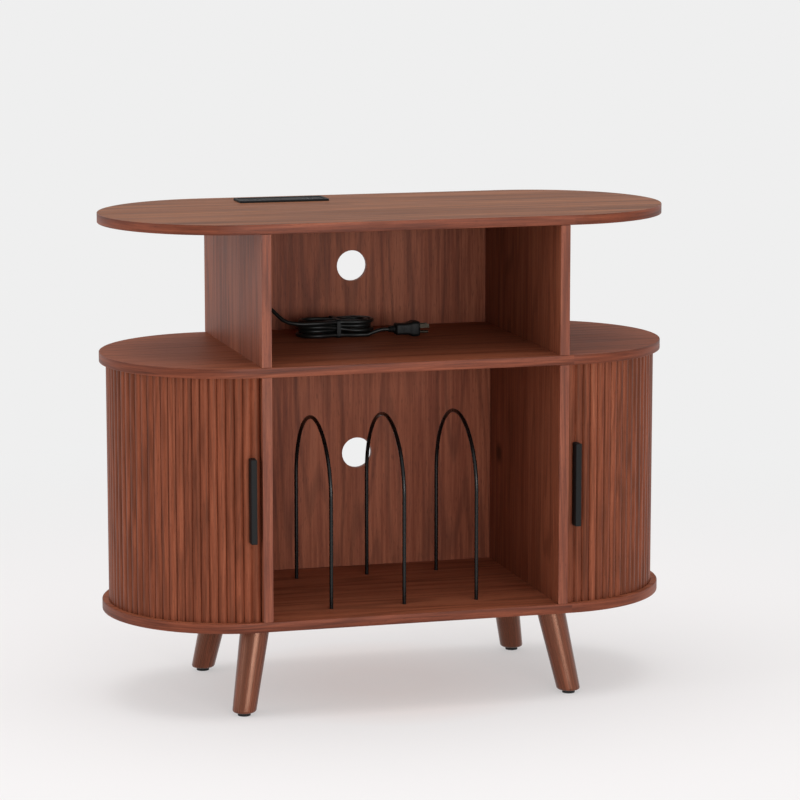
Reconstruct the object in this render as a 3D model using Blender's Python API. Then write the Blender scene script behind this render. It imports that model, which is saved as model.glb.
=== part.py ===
"""Record player stand: three boards with half-round ends on four splayed legs, a rack for records
between two tambour doors, an open shelf above it and a charging unit let into the top.

Metres, +Z up, -Y is the front, and the floor is z = 0. A door's angles are in degrees, counted from
the front-most point of its half-round end outwards, round to the rear."""

import math

import bmesh
import bpy
import numpy as np
from mathutils import Matrix, Vector

# Gap between touching pieces, room round a pin or screw, and how far a cut runs past its face
seat_gap = 0.0003
hole_clearance = 0.0003
overrun = 0.002

# Boards
board_thickness = 0.015
panel_length = 0.900
panel_depth = 0.400
panel_end_steps = 32
leg_height = 0.140
lower_bay_height = 0.376
upper_bay_height = 0.201

# Uprights: their outer faces stand this far inside the centres of the half-round ends
door_lead_room = 0.0075
divider_rear_setback = 0.0235

# Back panels, between the uprights
back_thickness = 0.009
upper_back_setback = 0.001
lower_back_setback = 0.007
cable_hole_radius = 0.025
cable_hole_steps = 28

# Countersunk screws up through the bottom panel into the lower dividers
screw_head_radius = 0.00425
screw_shank_radius = 0.0022
screw_head_height = 0.0030
screw_head_recess = 0.0005
screw_length = 0.038
screw_place_shares = (-0.35, 0.35)
screw_tip_radius_share = 0.3
screw_tip_share = 0.1
screw_steps = 8

# Legs, foot pads, and the hanger bolts between the legs and the bottom panel
leg_top_place = (0.2375, 0.124)
leg_splay = (0.025, 0.025)
leg_top_radius = 0.0230
leg_foot_radius = 0.0186
leg_rim_radius = 0.004
leg_rim_steps = 3
leg_steps = 24
pad_radius = 0.010
pad_height = 0.005
bolt_radius = 0.004
bolt_length_in_leg = 0.030
bolt_length_in_panel = 0.010
bolt_steps = 10

# Wire dividers of the record rack
wire_radius = 0.003
wire_arch_radius = 0.112
wire_top_height = 0.2806
wire_centre_setback = 0.180
wire_row_shift = -0.0022
wire_spacing = 0.1170
wire_peg_depth = 0.010
wire_arch_steps = 20
wire_resolution = 3

# Tambour doors: fluted slats on canvas, with a double slat and a batten at the lead edge. A door is
# one curtain, because its slats and its canvas are glued together.
slat_back_distance = 0.1825
slat_thickness = 0.007
slat_gap = 0.0004
slat_count = 24
slat_pitch_angle = 4.0
flute_rise = 0.003
flute_steps = 6
lead_flute_angle = 4.13
door_lead_angle = -2.08
door_head_room = 0.001
groove_depth = 0.006
groove_inner_radius = 0.1805
groove_outer_radius = 0.190
groove_lead_angle = -2.23
groove_rear_angle = 182.5
groove_steps = 37
canvas_thickness = 0.001
curtain_edge_angle = 0.35
batten_end_room = 0.001
batten_thickness = 0.003

# Door handles and their screws
handle_width = 0.0095
handle_projection = 0.017
handle_height = 0.130
handle_edge_radius = 0.0012
handle_edge_steps = 2
handle_pocket_depth = 0.0006
handle_screw_spacing = 0.080
handle_screw_depth = 0.012
handle_screw_head_radius = 0.0034
handle_screw_shank_radius = 0.0018
handle_screw_head_height = 0.0020
handle_screw_recess = 0.0003
handle_screw_names = {-1: "low", 1: "high"}

# Curved liners of the end compartments, inside the doors' way
liner_outer_radius = 0.1765
liner_thickness = 0.004
liner_start_angle = 97.0
liner_steps = 18

# Charging unit
charger_side_gap = 0.0276
charger_rear_setback = 0.067
bezel_size = (0.145, 0.052)
bezel_rim = 0.0055
bezel_rise = 0.0035
bezel_edge_radius = 0.0008
housing_wall = 0.0018
housing_depth = 0.050
face_recess = 0.0010
face_thickness = 0.008
outlet_place_shares = (-0.34, -0.08)
blade_slot_size = (0.0080, 0.0022)
blade_slot_spacing = 0.0127
ground_hole_radius = 0.0026
ground_hole_offset = 0.0100
slot_depth = 0.006
usb_place_share = 0.30
usb_size = (0.0170, 0.0130)
usb_wall = 0.0006
usb_height = 0.006
usb_gap_size = (0.0022, 0.0112)
usb_port_spacing = 0.0080
clamp_size = (0.060, 0.009, 0.010)

# Strain relief under the housing
relief_inset = 0.0199
relief_length = 0.025
relief_root_radius = 0.0060
relief_tip_radius = 0.0045
relief_neck_radius = 0.0038
relief_neck_length = 0.004
relief_steps = 12

# Cord: free stretches, and a tied hank whose shape is counted in the cord's diameters
cord_diameter = 0.0062
cord_resolution = 2
point_step_diameters = 2.4
hank_centre = (-0.0529, 0.0985)
hank_half_run_diameters = 5.4
hank_fold_diameters = 3.0
hank_draw_diameters = 1.1
hank_pitch_diameters = 1.4
hank_layer_diameters = 1.1
hank_loop_points = 24
hank_resolution = 1
hank_knot_turns = (0, 1.375, 1.875, 2.875, 3.375, 4.375, 4.875, 6.25)
hank_knot_pitches = (1.375, 0, 0, 1, 1, 0, 0, 1.375)
hank_climb_turns = (1.5, 3.0, 4.5)
curve_samples = 16
self_gap_samples = 4
self_gap_start_diameters = 3
tie_width = 0.006
tie_thickness = 0.001
tie_room = 0.0006
tie_corner_steps = 4
lead_route = (
    (-0.1815, 0.1330, 0.6600),
    (-0.1845, 0.1255, 0.6360),
    (-0.1755, 0.1080, 0.6120),
    (-0.1570, 0.0905, 0.5920),
    (-0.1400, 0.0775, 0.5760),
    (-0.1200, 0.0705, 0.5715),
)
tail_route = ((-0.0020, 0.0676, 0.5524), (0.0100, 0.0664, 0.5566))

# Plug, lying on the shelf with its prongs to the right
plug_place = (0.0378, 0.0660)
plug_size = (0.0385, 0.027, 0.024)
plug_grip_size = (0.022, 0.018)
plug_section_shares = ((0.0, 0.0), (0.55, 0.0), (0.70, 1.0), (1.0, 1.0))
plug_corner_share = 0.3
plug_corner_steps = 3
boot_length = 0.010
boot_root_radius = 0.0065
boot_tip_radius = 0.0045
prong_length = 0.0165
prong_root_length = 0.005
blade_size = (0.0015, 0.0063)
blade_spacing = 0.0127
blade_raise = 0.004
ground_pin_radius = 0.0023
ground_pin_drop = 0.006

# Levels and places worked out from the sizes above
bottom_top = leg_height + board_thickness
shelf_low = bottom_top + lower_bay_height
shelf_top = shelf_low + board_thickness
top_low = shelf_top + upper_bay_height
top_top = top_low + board_thickness
panel_radius = panel_depth / 2
end_centre_x = panel_length / 2 - panel_radius
upright_outer_x = end_centre_x - door_lead_room
upright_inner_x = upright_outer_x - board_thickness
upright_x = (upright_inner_x + upright_outer_x) / 2
divider_rear = panel_radius - divider_rear_setback
upper_back_rear = panel_radius - upper_back_setback
lower_back_rear = divider_rear - lower_back_setback
shoulder_distance = slat_back_distance + slat_thickness - flute_rise
crest_distance = slat_back_distance + slat_thickness
canvas_distance = slat_back_distance - seat_gap
canvas_inner_distance = slat_back_distance - canvas_thickness
batten_distance = canvas_inner_distance - seat_gap
batten_inner_distance = batten_distance - batten_thickness
door_middle = (bottom_top + shelf_low) / 2
groove_angle = door_lead_angle + lead_flute_angle
pocket_distance = shoulder_distance - handle_pocket_depth
handle_front_distance = crest_distance + handle_projection
front_overhang = handle_front_distance - panel_radius
charger_window = (bezel_size[0] / 2 - bezel_rim, bezel_size[1] / 2 - bezel_rim)
housing_reach = (charger_window[0] + housing_wall, charger_window[1] + housing_wall)
charger_x = charger_side_gap + housing_reach[0] - upright_inner_x
charger_place = (charger_x, panel_radius - charger_rear_setback)
hank_low = shelf_top + seat_gap + tie_thickness + seat_gap + cord_diameter / 2
side_names = {-1: "left", 1: "right"}
row_names = {-1: "front", 1: "rear"}


def clear_scene():
    for thing in list(bpy.data.objects):
        bpy.data.objects.remove(thing, do_unlink=True)


def material(name, colour, roughness, metallic=0.0):
    """A Principled material; its colour is given as sRGB values from 0 to 255."""
    made = bpy.data.materials.new(name)
    made.use_nodes = True
    linear = [((value / 255 + 0.055) / 1.055) ** 2.4 for value in colour]
    shader = made.node_tree.nodes["Principled BSDF"]
    shader.inputs["Base Color"].default_value = (*linear, 1)
    shader.inputs["Roughness"].default_value = roughness
    shader.inputs["Metallic"].default_value = metallic
    made.diffuse_color = (*linear, 1)
    return made


def empty(name, parent=None, place=(0, 0, 0)):
    made = bpy.data.objects.new(name, None)
    bpy.context.scene.collection.objects.link(made)
    made.parent = parent
    made.location = place
    return made


def piece(name, shape, finish, parent, turn=0.0, smooth_angle=None):
    """The object of one sub-part, from a bmesh in its parent's frame."""
    bmesh.ops.recalc_face_normals(shape, faces=shape.faces)
    mesh = bpy.data.meshes.new(name)
    shape.to_mesh(mesh)
    shape.free()
    if smooth_angle is not None:
        mesh.shade_smooth()
        mesh.set_sharp_from_angle(angle=math.radians(smooth_angle))
    made = bpy.data.objects.new(name, mesh)
    bpy.context.scene.collection.objects.link(made)
    made.parent = parent
    made.rotation_euler.z = turn
    if finish:
        mesh.materials.append(finish)
    return made


def cutter(name, shape, parent, turn=0.0):
    """A shape to cut with, which the build leaves out."""
    made = piece(name, shape, None, parent, turn)
    made.hide_render = True
    made.display_type = "WIRE"
    return made


def carve(target, *cutters):
    for tool in cutters:
        cut = target.modifiers.new(tool.name, "BOOLEAN")
        cut.operation = "DIFFERENCE"
        cut.solver = "EXACT"
        cut.object = tool


def round_edges(target, radius, steps):
    bevel = target.modifiers.new("round_edges", "BEVEL")
    bevel.width = radius
    bevel.segments = steps
    bevel.limit_method = "ANGLE"
    bevel.harden_normals = False


def add_box(shape, low, high):
    low, high = Vector(low), Vector(high)
    scale = Matrix.Diagonal((*(high - low), 1))
    bmesh.ops.create_cube(shape, size=1, matrix=Matrix.Translation((low + high) / 2) @ scale)


def add_prism(shape, outline, low, high):
    """A solid that stands on a flat outline, from one height to another."""
    floor = shape.faces.new([shape.verts.new((x, y, low)) for x, y in outline])
    grown = bmesh.ops.extrude_face_region(shape, geom=[floor], use_keep_orig=True)
    lifted = [item for item in grown["geom"] if isinstance(item, bmesh.types.BMVert)]
    bmesh.ops.translate(shape, verts=lifted, vec=(0, 0, high - low))


def add_loft(shape, rings):
    """A solid through rings of as many points each, with both ends closed."""
    rows = [[shape.verts.new(point) for point in ring] for ring in rings]
    for lower, upper in zip(rows, rows[1:]):
        for i, start in enumerate(lower):
            shape.faces.new((start, lower[i - 1], upper[i - 1], upper[i]))
    shape.faces.new(rows[0])
    shape.faces.new(reversed(rows[-1]))


def add_turned(shape, profile, place, axis, steps):
    """A solid turned round an axis through a place, from its (distance along, radius) pairs."""
    axis = Vector(axis)
    across = axis.orthogonal().normalized()
    up = axis.cross(across)
    angles = [math.tau * (i + 0.5) / steps for i in range(steps)]
    rings = []
    for along, radius in profile:
        centre = Vector(place) + axis * along
        rings.append([centre + radius * (across * math.cos(a) + up * math.sin(a)) for a in angles])
    add_loft(shape, rings)


def add_cylinder(shape, radius, length, place, axis, steps):
    add_turned(shape, ((0, radius), (length, radius)), place, axis, steps)


def arc(centre_x, radius, start, end, steps):
    """Points on an arc round (centre_x, 0), with its angles in degrees counted from +X."""
    angles = [math.radians(start + (end - start) * i / steps) for i in range(steps + 1)]
    return [(centre_x + radius * math.cos(a), radius * math.sin(a)) for a in angles]


def spread(shares, size, centre):
    """Places at these shares of a size from a centre."""
    return [centre + share * size for share in shares]


def at_end(side, angle, radius):
    """A place round one half-round end, at a door's angle."""
    turn = math.radians(angle)
    return side * (end_centre_x + radius * math.sin(turn)), -radius * math.cos(turn)


def on_door(side, angle, along, out):
    """A place in a door's own frame: out from its axis at an angle, and along its path from there."""
    turn = math.radians(angle)
    x = out * math.sin(turn) + along * math.cos(turn)
    return side * x, along * math.sin(turn) - out * math.cos(turn)


def half_width(angle, distance):
    return distance * math.tan(math.radians(angle) / 2)


def screw_profile(head_radius, shank_radius, head_height, length):
    """A countersunk screw, from its head's face to its tip."""
    shank_end = length - (length - head_height) * screw_tip_share
    tip = (length, shank_radius * screw_tip_radius_share)
    return (0, head_radius), (head_height, shank_radius), (shank_end, shank_radius), tip


def screw_hole_profile(head_radius, shank_radius, head_height, length):
    """The hole of a countersunk screw, open at its head."""
    head = head_radius + hole_clearance
    shank = shank_radius + hole_clearance
    mouth = (-overrun, head)
    return mouth, (0, head), (head_height, shank), (length + hole_clearance, shank)


def panel_outline():
    right = arc(end_centre_x, panel_radius, -90, 90, panel_end_steps)
    return right + arc(-end_centre_x, panel_radius, 90, 270, panel_end_steps)


def make_panel(name, low, stand, wood):
    shape = bmesh.new()
    add_prism(shape, panel_outline(), low, low + board_thickness)
    return piece(name, shape, wood, stand)


def make_groove_cutter(name, low, high, stand):
    """The doors' grooves at one level, round both ends."""
    shape = bmesh.new()
    span = groove_rear_angle - groove_lead_angle
    angles = [groove_lead_angle + span * i / groove_steps for i in range(groove_steps + 1)]
    for side in side_names:
        outer = [at_end(side, angle, groove_outer_radius) for angle in angles]
        inner = [at_end(side, angle, groove_inner_radius) for angle in reversed(angles)]
        add_prism(shape, outer + inner, low, high)
    return cutter(name, shape, stand)


def make_upright(name, side, rear, low, high, stand, wood):
    shape = bmesh.new()
    near, far = sorted((side * upright_inner_x, side * upright_outer_x))
    add_box(shape, (near, -panel_radius, low + seat_gap), (far, rear, high - seat_gap))
    return piece(f"{name}_{side_names[side]}", shape, wood, stand)


def make_back_panel(name, rear, low, high, stand, wood):
    """A back panel with a round cable hole in its middle."""
    shape = bmesh.new()
    reach = upright_inner_x - seat_gap
    front = rear - back_thickness
    add_box(shape, (-reach, front, low + seat_gap), (reach, rear, high - seat_gap))
    panel = piece(name, shape, wood, stand)
    hole = bmesh.new()
    place = (0, front - overrun, (low + high) / 2)
    length = back_thickness + overrun + overrun
    add_cylinder(hole, cable_hole_radius, length, place, (0, 1, 0), cable_hole_steps)
    carve(panel, cutter(f"{name}_hole", hole, stand))
    return panel


def make_base_screws(stand, steel):
    """The screws that hold the lower dividers, with the cutter of their holes."""
    holes = bmesh.new()
    sizes = (screw_head_radius, screw_shank_radius, screw_head_height, screw_length)
    middle, half = (divider_rear - panel_radius) / 2, (divider_rear + panel_radius) / 2
    for side, column in side_names.items():
        for row, y in zip(row_names.values(), spread(screw_place_shares, half, middle)):
            place = (side * upright_x, y, leg_height + screw_head_recess)
            screw = bmesh.new()
            add_turned(screw, screw_profile(*sizes), place, (0, 0, 1), screw_steps)
            piece(f"base_screw_{row}_{column}", screw, steel, stand)
            add_turned(holes, screw_hole_profile(*sizes), place, (0, 0, 1), screw_steps)
    return cutter("base_screw_holes", holes, stand)


def make_liner(side, stand, wood):
    """The curved inner wall of an end compartment, cut flat where it meets the divider."""
    reach = end_centre_x - upright_outer_x - seat_gap
    outline = []
    for radius in (liner_outer_radius, liner_outer_radius - liner_thickness):
        end = 180 + math.degrees(math.asin(reach / radius))
        span = end - liner_start_angle
        run = [liner_start_angle + span * i / liner_steps for i in range(liner_steps + 1)]
        points = [at_end(side, angle, radius) for angle in run]
        outline += points if radius == liner_outer_radius else reversed(points)
    shape = bmesh.new()
    add_prism(shape, outline, bottom_top + seat_gap, shelf_low - seat_gap)
    return piece(f"end_liner_{side_names[side]}", shape, wood, stand)


def leg_ring(side, row, level, radius):
    """A level ring of a splayed leg; the leg leans outwards towards its foot."""
    share = (leg_height - level) / (leg_height - pad_height)
    x = side * (leg_top_place[0] + leg_splay[0] * share)
    y = row * (leg_top_place[1] + leg_splay[1] * share)
    angles = [math.tau * i / leg_steps for i in range(leg_steps)]
    return [(x + radius * math.cos(a), y + radius * math.sin(a), level) for a in angles]


def make_leg(side, row, stand, wood, rubber):
    foot = pad_height + seat_gap
    name = f"{row_names[row]}_{side_names[side]}"
    rings = []
    for i in range(leg_rim_steps + 1):
        turn = math.pi / 2 * i / leg_rim_steps
        radius = leg_foot_radius - leg_rim_radius * (1 - math.sin(turn))
        rings.append(leg_ring(side, row, foot + leg_rim_radius * (1 - math.cos(turn)), radius))
    rings.append(leg_ring(side, row, leg_height - seat_gap, leg_top_radius))
    shape = bmesh.new()
    add_loft(shape, rings)
    leg = piece(f"leg_{name}", shape, wood, stand, smooth_angle=40)
    pad = bmesh.new()
    place = (side * (leg_top_place[0] + leg_splay[0]), row * (leg_top_place[1] + leg_splay[1]), 0)
    add_cylinder(pad, pad_radius, pad_height, place, (0, 0, 1), leg_steps)
    piece(f"foot_pad_{name}", pad, rubber, stand, smooth_angle=40)
    return leg


def make_hanger_bolts(stand, steel):
    """The bolts between the legs and the bottom panel, with the cutter of their holes."""
    holes = bmesh.new()
    up, length = (0, 0, 1), bolt_length_in_leg + bolt_length_in_panel
    for side, column in side_names.items():
        for row, name in row_names.items():
            x, y = side * leg_top_place[0], row * leg_top_place[1]
            foot = leg_height - bolt_length_in_leg
            bolt = bmesh.new()
            add_cylinder(bolt, bolt_radius, length, (x, y, foot), up, bolt_steps)
            piece(f"hanger_bolt_{name}_{column}", bolt, steel, stand, smooth_angle=40)
            place, room = (x, y, foot - hole_clearance), hole_clearance + hole_clearance
            add_cylinder(holes, bolt_radius + hole_clearance, length + room, place, up, bolt_steps)
    return cutter("hanger_bolt_holes", holes, stand)


def make_rack(stand, metal):
    """Three bent wires, each an arch on two straight legs pegged into the bottom panel."""
    holes = bmesh.new()
    centre_y = wire_centre_setback - panel_radius
    spring = bottom_top + wire_top_height - wire_arch_radius
    foot = bottom_top - wire_peg_depth
    for column, name in ((-1, "left"), (0, "middle"), (1, "right")):
        curve = bpy.data.curves.new(f"record_wire_{name}", "CURVE")
        curve.dimensions = "3D"
        curve.bevel_depth = wire_radius
        curve.bevel_resolution = wire_resolution
        curve.use_fill_caps = True
        turns = [math.pi * i / wire_arch_steps for i in range(wire_arch_steps + 1)]
        points = [(-wire_arch_radius, foot)]
        for turn in turns:
            across, up = -wire_arch_radius * math.cos(turn), wire_arch_radius * math.sin(turn)
            points.append((across, spring + up))
        points.append((wire_arch_radius, foot))
        x = wire_row_shift + column * wire_spacing
        set_route(curve, [(x, centre_y + y, z) for y, z in points])
        curve.materials.append(metal)
        wire = bpy.data.objects.new(curve.name, curve)
        bpy.context.scene.collection.objects.link(wire)
        wire.parent = stand
        for reach in (-wire_arch_radius, wire_arch_radius):
            place = (x, centre_y + reach, foot - hole_clearance)
            length = wire_peg_depth + hole_clearance + overrun
            add_cylinder(holes, wire_radius + hole_clearance, length, place, (0, 0, 1), bolt_steps)
    return cutter("record_wire_holes", holes, stand)


def set_route(curve, points):
    spline = curve.splines.new("POLY")
    spline.points.add(len(points) - 1)
    for target, place in zip(spline.points, points):
        target.co = (*place, 1)


def flute_points(side, angle, pitch, edge_gap):
    """The half-round face of a slat, from its earlier edge to its later one."""
    reach = half_width(pitch, shoulder_distance) - edge_gap
    radius = (reach**2 + flute_rise**2) / (2 * flute_rise)
    half = math.asin(reach / radius)
    points = []
    for i in range(flute_steps + 1):
        turn = half * (2 * i / flute_steps - 1)
        out = crest_distance - radius + radius * math.cos(turn)
        points.append(on_door(side, angle, radius * math.sin(turn), out))
    return points


def door_angles():
    """The angles between a door's flutes, from its lead edge to its tail."""
    return [door_lead_angle] + [groove_angle + slat_pitch_angle * i for i in range(slat_count + 2)]


def facet_points(side, angles, distance):
    """The corners of flat facets behind the slats, whose flats lie so far out from the door's axis."""
    corner = math.cos(math.radians(slat_pitch_angle) / 2)
    return [on_door(side, angle, 0, distance / corner) for angle in angles]


def make_curtain(side, angles, low, high, axle, wood):
    """The slats with thin gaps between them, on the canvas, which runs on behind the lead slat."""
    first, *starts = angles[2:-1]
    lead = angles[0] + curtain_edge_angle
    outline = facet_points(side, (lead, angles[1]), canvas_distance)
    outline.append(on_door(side, first, -slat_gap / 2, canvas_distance))
    back = half_width(slat_pitch_angle, slat_back_distance) - slat_gap / 2
    for start in (first, *starts):
        middle = start + slat_pitch_angle / 2
        outline.append(on_door(side, middle, -back, slat_back_distance))
        outline += flute_points(side, middle, slat_pitch_angle, slat_gap / 2)
        outline.append(on_door(side, middle, back, slat_back_distance))
    inner = facet_points(side, (lead, *angles[1:]), canvas_inner_distance)
    shape = bmesh.new()
    add_prism(shape, outline + inner[::-1], low, high)
    return piece(f"door_curtain_{side_names[side]}", shape, wood, axle)


def make_stile(side, angles, low, high, axle, wood):
    """The double lead slat, in front of the canvas."""
    lead, groove, last = angles[:3]
    outline = [on_door(side, lead, 0, slat_back_distance)]
    outline += flute_points(side, (lead + groove) / 2, lead_flute_angle, 0)
    outline += flute_points(side, (groove + last) / 2, slat_pitch_angle, slat_gap / 2)[1:]
    outline.append(on_door(side, last, -slat_gap / 2, slat_back_distance))
    outline += facet_points(side, (groove,), slat_back_distance)
    shape = bmesh.new()
    add_prism(shape, outline, low, high)
    return piece(f"door_stile_{side_names[side]}", shape, wood, axle)


def make_batten(side, angles, axle, wood):
    """The batten that clamps the canvas to the lead slat from inside."""
    edges = (angles[0] + curtain_edge_angle, angles[1], angles[2] - curtain_edge_angle)
    outline = facet_points(side, edges, batten_distance)
    outline += facet_points(side, edges[::-1], batten_inner_distance)
    shape = bmesh.new()
    add_prism(shape, outline, bottom_top + batten_end_room, shelf_low - batten_end_room)
    return piece(f"door_batten_{side_names[side]}", shape, wood, axle)


def make_door(side, axle, wood, metal, steel):
    """A tambour door in its own frame, whose origin is on the axis that it turns round."""
    low, high = bottom_top - groove_depth + seat_gap, shelf_low + groove_depth - door_head_room
    angles = door_angles()
    curtain = make_curtain(side, angles, low, high, axle, wood)
    stile = make_stile(side, angles, low, high, axle, wood)
    batten = make_batten(side, angles, axle, wood)
    make_handle(side, axle, (stile, curtain, batten), metal, steel)


def make_handle(side, axle, clamped, metal, steel):
    """A bar handle in a pocket of the lead slat, with screws from inside through what it clamps."""
    name, turn = side_names[side], math.radians(side * groove_angle)
    half, reach = handle_width / 2, handle_height / 2
    foot = pocket_distance + seat_gap
    shape = bmesh.new()
    low, high = door_middle - reach, door_middle + reach
    add_box(shape, (-half, -handle_front_distance, low), (half, -foot, high))
    handle = piece(f"door_handle_{name}", shape, metal, axle, turn, smooth_angle=35)
    round_edges(handle, handle_edge_radius, handle_edge_steps)

    pocket = bmesh.new()
    half, reach = half + hole_clearance, reach + hole_clearance
    low, high = door_middle - reach, door_middle + reach
    add_box(pocket, (-half, -handle_front_distance, low), (half, -pocket_distance, high))
    carve(clamped[0], cutter(f"handle_pocket_{name}", pocket, axle, turn))

    holes = bmesh.new()
    start = batten_inner_distance + handle_screw_recess
    length = foot + handle_screw_depth - start
    sizes = (handle_screw_head_radius, handle_screw_shank_radius, handle_screw_head_height, length)
    for level, word in handle_screw_names.items():
        place = (0, -start, door_middle + level * handle_screw_spacing / 2)
        screw = bmesh.new()
        add_turned(screw, screw_profile(*sizes), place, (0, -1, 0), screw_steps)
        piece(f"handle_screw_{word}_{name}", screw, steel, axle, turn)
        add_turned(holes, screw_hole_profile(*sizes), place, (0, -1, 0), screw_steps)
    hole_cutter = cutter(f"handle_screw_holes_{name}", holes, axle, turn)
    for target in (*clamped, handle):
        carve(target, hole_cutter)


def make_charger(stand, dark, steel):
    """The charging unit; its housing hangs through the top under a bezel that lies on it."""
    x, y = charger_place
    window, outer = charger_window, housing_reach
    bezel_top = top_top + bezel_rise
    floor = top_top - housing_depth

    def add_well(shape, reach, low, high):
        add_box(shape, (x - reach[0], y - reach[1], low), (x + reach[0], y + reach[1], high))

    shape = bmesh.new()
    room = (outer[0] + seat_gap, outer[1] + seat_gap)
    add_well(shape, room, top_low - overrun, top_top + overrun)
    top_cutter = cutter("charger_cut_out", shape, stand)

    shape = bmesh.new()
    add_well(shape, (bezel_size[0] / 2, bezel_size[1] / 2), top_top + seat_gap, bezel_top)
    bezel = piece("charger_bezel", shape, dark, stand)
    round_edges(bezel, bezel_edge_radius, 1)
    shape = bmesh.new()
    add_well(shape, window, top_top - overrun, bezel_top + overrun)
    carve(bezel, cutter("bezel_window", shape, stand))

    shape = bmesh.new()
    add_well(shape, outer, floor, top_top)
    housing = piece("charger_housing", shape, dark, stand)
    shape = bmesh.new()
    add_well(shape, window, floor + housing_wall, bezel_top)
    carve(housing, cutter("housing_hollow", shape, stand))

    shape = bmesh.new()
    face_top = bezel_top - face_recess
    reach = (window[0] - seat_gap, window[1] - seat_gap)
    add_well(shape, reach, face_top - face_thickness, face_top)
    face = piece("socket_face", shape, dark, stand)
    slots = bmesh.new()
    for place_x in spread(outlet_place_shares, bezel_size[0], x):
        add_outlet(slots, place_x, y, face_top)
    make_usb_shell(slots, x + usb_place_share * bezel_size[0], y, face_top, stand, steel)
    carve(face, cutter("socket_slots", slots, stand))

    top = top_low - seat_gap
    for row, name in row_names.items():
        near = y + row * (outer[1] + seat_gap)
        low_y, high_y = sorted((near, near + row * clamp_size[1]))
        shape = bmesh.new()
        low = (x - clamp_size[0] / 2, low_y, top - clamp_size[2])
        add_box(shape, low, (x + clamp_size[0] / 2, high_y, top))
        piece(f"charger_clamp_{name}", shape, steel, stand)
    return top_cutter, housing, Vector((x - outer[0] + relief_inset, y, floor))


def add_outlet(slots, x, y, face_top):
    """The slots of a generic outlet: two for blades and a round one for the earth pin."""
    half_x, half_y = blade_slot_size[0] / 2, blade_slot_size[1] / 2
    for middle in spread((-1, 1), blade_slot_spacing / 2, y):
        low = (x - half_x, middle - half_y, face_top - slot_depth)
        add_box(slots, low, (x + half_x, middle + half_y, face_top + overrun))
    place = (x + ground_hole_offset, y, face_top - slot_depth)
    add_cylinder(slots, ground_hole_radius, slot_depth + overrun, place, (0, 0, 1), screw_steps)


def make_usb_shell(slots, x, y, face_top, stand, steel):
    """The shell of two USB ports, each a narrow gap beside its tongue, in a slot of the face."""
    foot = face_top - usb_height
    half_x, half_y = usb_size[0] / 2, usb_size[1] / 2
    shell, hollows = bmesh.new(), bmesh.new()
    add_box(shell, (x - half_x, y - half_y, foot), (x + half_x, y + half_y, face_top - seat_gap))
    low = (x - half_x - seat_gap, y - half_y - seat_gap, foot - seat_gap)
    add_box(slots, low, (x + half_x + seat_gap, y + half_y + seat_gap, face_top + overrun))
    half_x, half_y = usb_gap_size[0] / 2, usb_gap_size[1] / 2
    for middle in spread((-1, 1), usb_port_spacing / 2, x):
        low = (middle - half_x, y - half_y, foot + usb_wall)
        add_box(hollows, low, (middle + half_x, y + half_y, face_top + overrun))
    carve(piece("usb_shell", shell, steel, stand), cutter("usb_hollows", hollows, stand))


def make_relief(exit_place, housing, stand, rubber):
    """The tapered strain relief, with a neck up through the housing's floor."""
    profile = (
        (-housing_wall - relief_neck_length, relief_neck_radius),
        (seat_gap, relief_neck_radius),
        (seat_gap, relief_root_radius),
        (relief_length, relief_tip_radius),
    )
    shape = bmesh.new()
    add_turned(shape, profile, exit_place, (0, 0, -1), relief_steps)
    piece("strain_relief", shape, rubber, stand, smooth_angle=40)
    hole = bmesh.new()
    radius, length = relief_neck_radius + hole_clearance, housing_wall + overrun + overrun
    add_cylinder(hole, radius, length, exit_place - Vector((0, 0, overrun)), (0, 0, 1), relief_steps)
    carve(housing, cutter("strain_relief_hole", hole, stand))


def smooth_route(start, start_way, route, end, end_way):
    """Points on a smooth curve through a cord's route, straight for one diameter at each end."""
    points = [start + start_way * cord_diameter]
    points += [Vector(place) for place in route]
    points.append(end - end_way * cord_diameter)
    before = points[1] - start_way * (points[1] - points[0]).length * 2
    after = points[-2] + end_way * (points[-1] - points[-2]).length * 2
    points = [before, *points, after]
    fine = []
    for p, q, r, s in zip(points, points[1:], points[2:], points[3:]):
        for t in np.arange(curve_samples) / curve_samples:
            bend = (2 * p - 5 * q + 4 * r - s) * t**2 + (3 * q - p - 3 * r + s) * t**3
            fine.append(q + ((r - p) * t + bend) / 2)
    fine = np.array([*fine, points[-2]])
    along = np.concatenate([[0], np.cumsum(np.linalg.norm(np.diff(fine, axis=0), axis=1))])
    count = round(along[-1] / (cord_diameter * point_step_diameters))
    wanted = np.linspace(0, along[-1], count + 1)
    even = np.stack([np.interp(wanted, along, column) for column in fine.T], axis=1)
    return [start, *(Vector(place) for place in even), end]


def hank_place(turns):
    """A place on the hank's centreline after so many turns, from its top layer's outside."""
    run, fold = hank_half_run_diameters, hank_fold_diameters
    fold += hank_pitch_diameters * np.interp(turns, hank_knot_turns, hank_knot_pitches)
    back, part = divmod(turns * 2, 1)
    side = -1 if back % 2 else 1
    if part < 1 / 2:
        x = run * (4 * part - 1)
        y = hank_draw_diameters * math.cos(math.pi / 2 * x / run) ** 2 - fold
    else:
        turn = math.tau * (part - 3 / 4)
        x, y = run + fold * math.cos(turn), fold * math.sin(turn)
    layer = 0.0
    for start in hank_climb_turns:
        share = min(max((start + 1 / 4 - turns) * 4, 0), 1)
        layer += share * share * (3 - 2 * share)
    z = hank_low + cord_diameter * hank_layer_diameters * layer
    x, y = side * x * cord_diameter, side * y * cord_diameter
    return Vector((hank_centre[0] + x, hank_centre[1] + y, z))


def hank_points():
    count = round(hank_knot_turns[-1] * hank_loop_points)
    points = [hank_place(i / hank_loop_points) for i in range(count + 1)]
    lead = Vector((cord_diameter, 0, 0))
    return [points[0] - lead, *points, points[-1] + lead]


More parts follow.
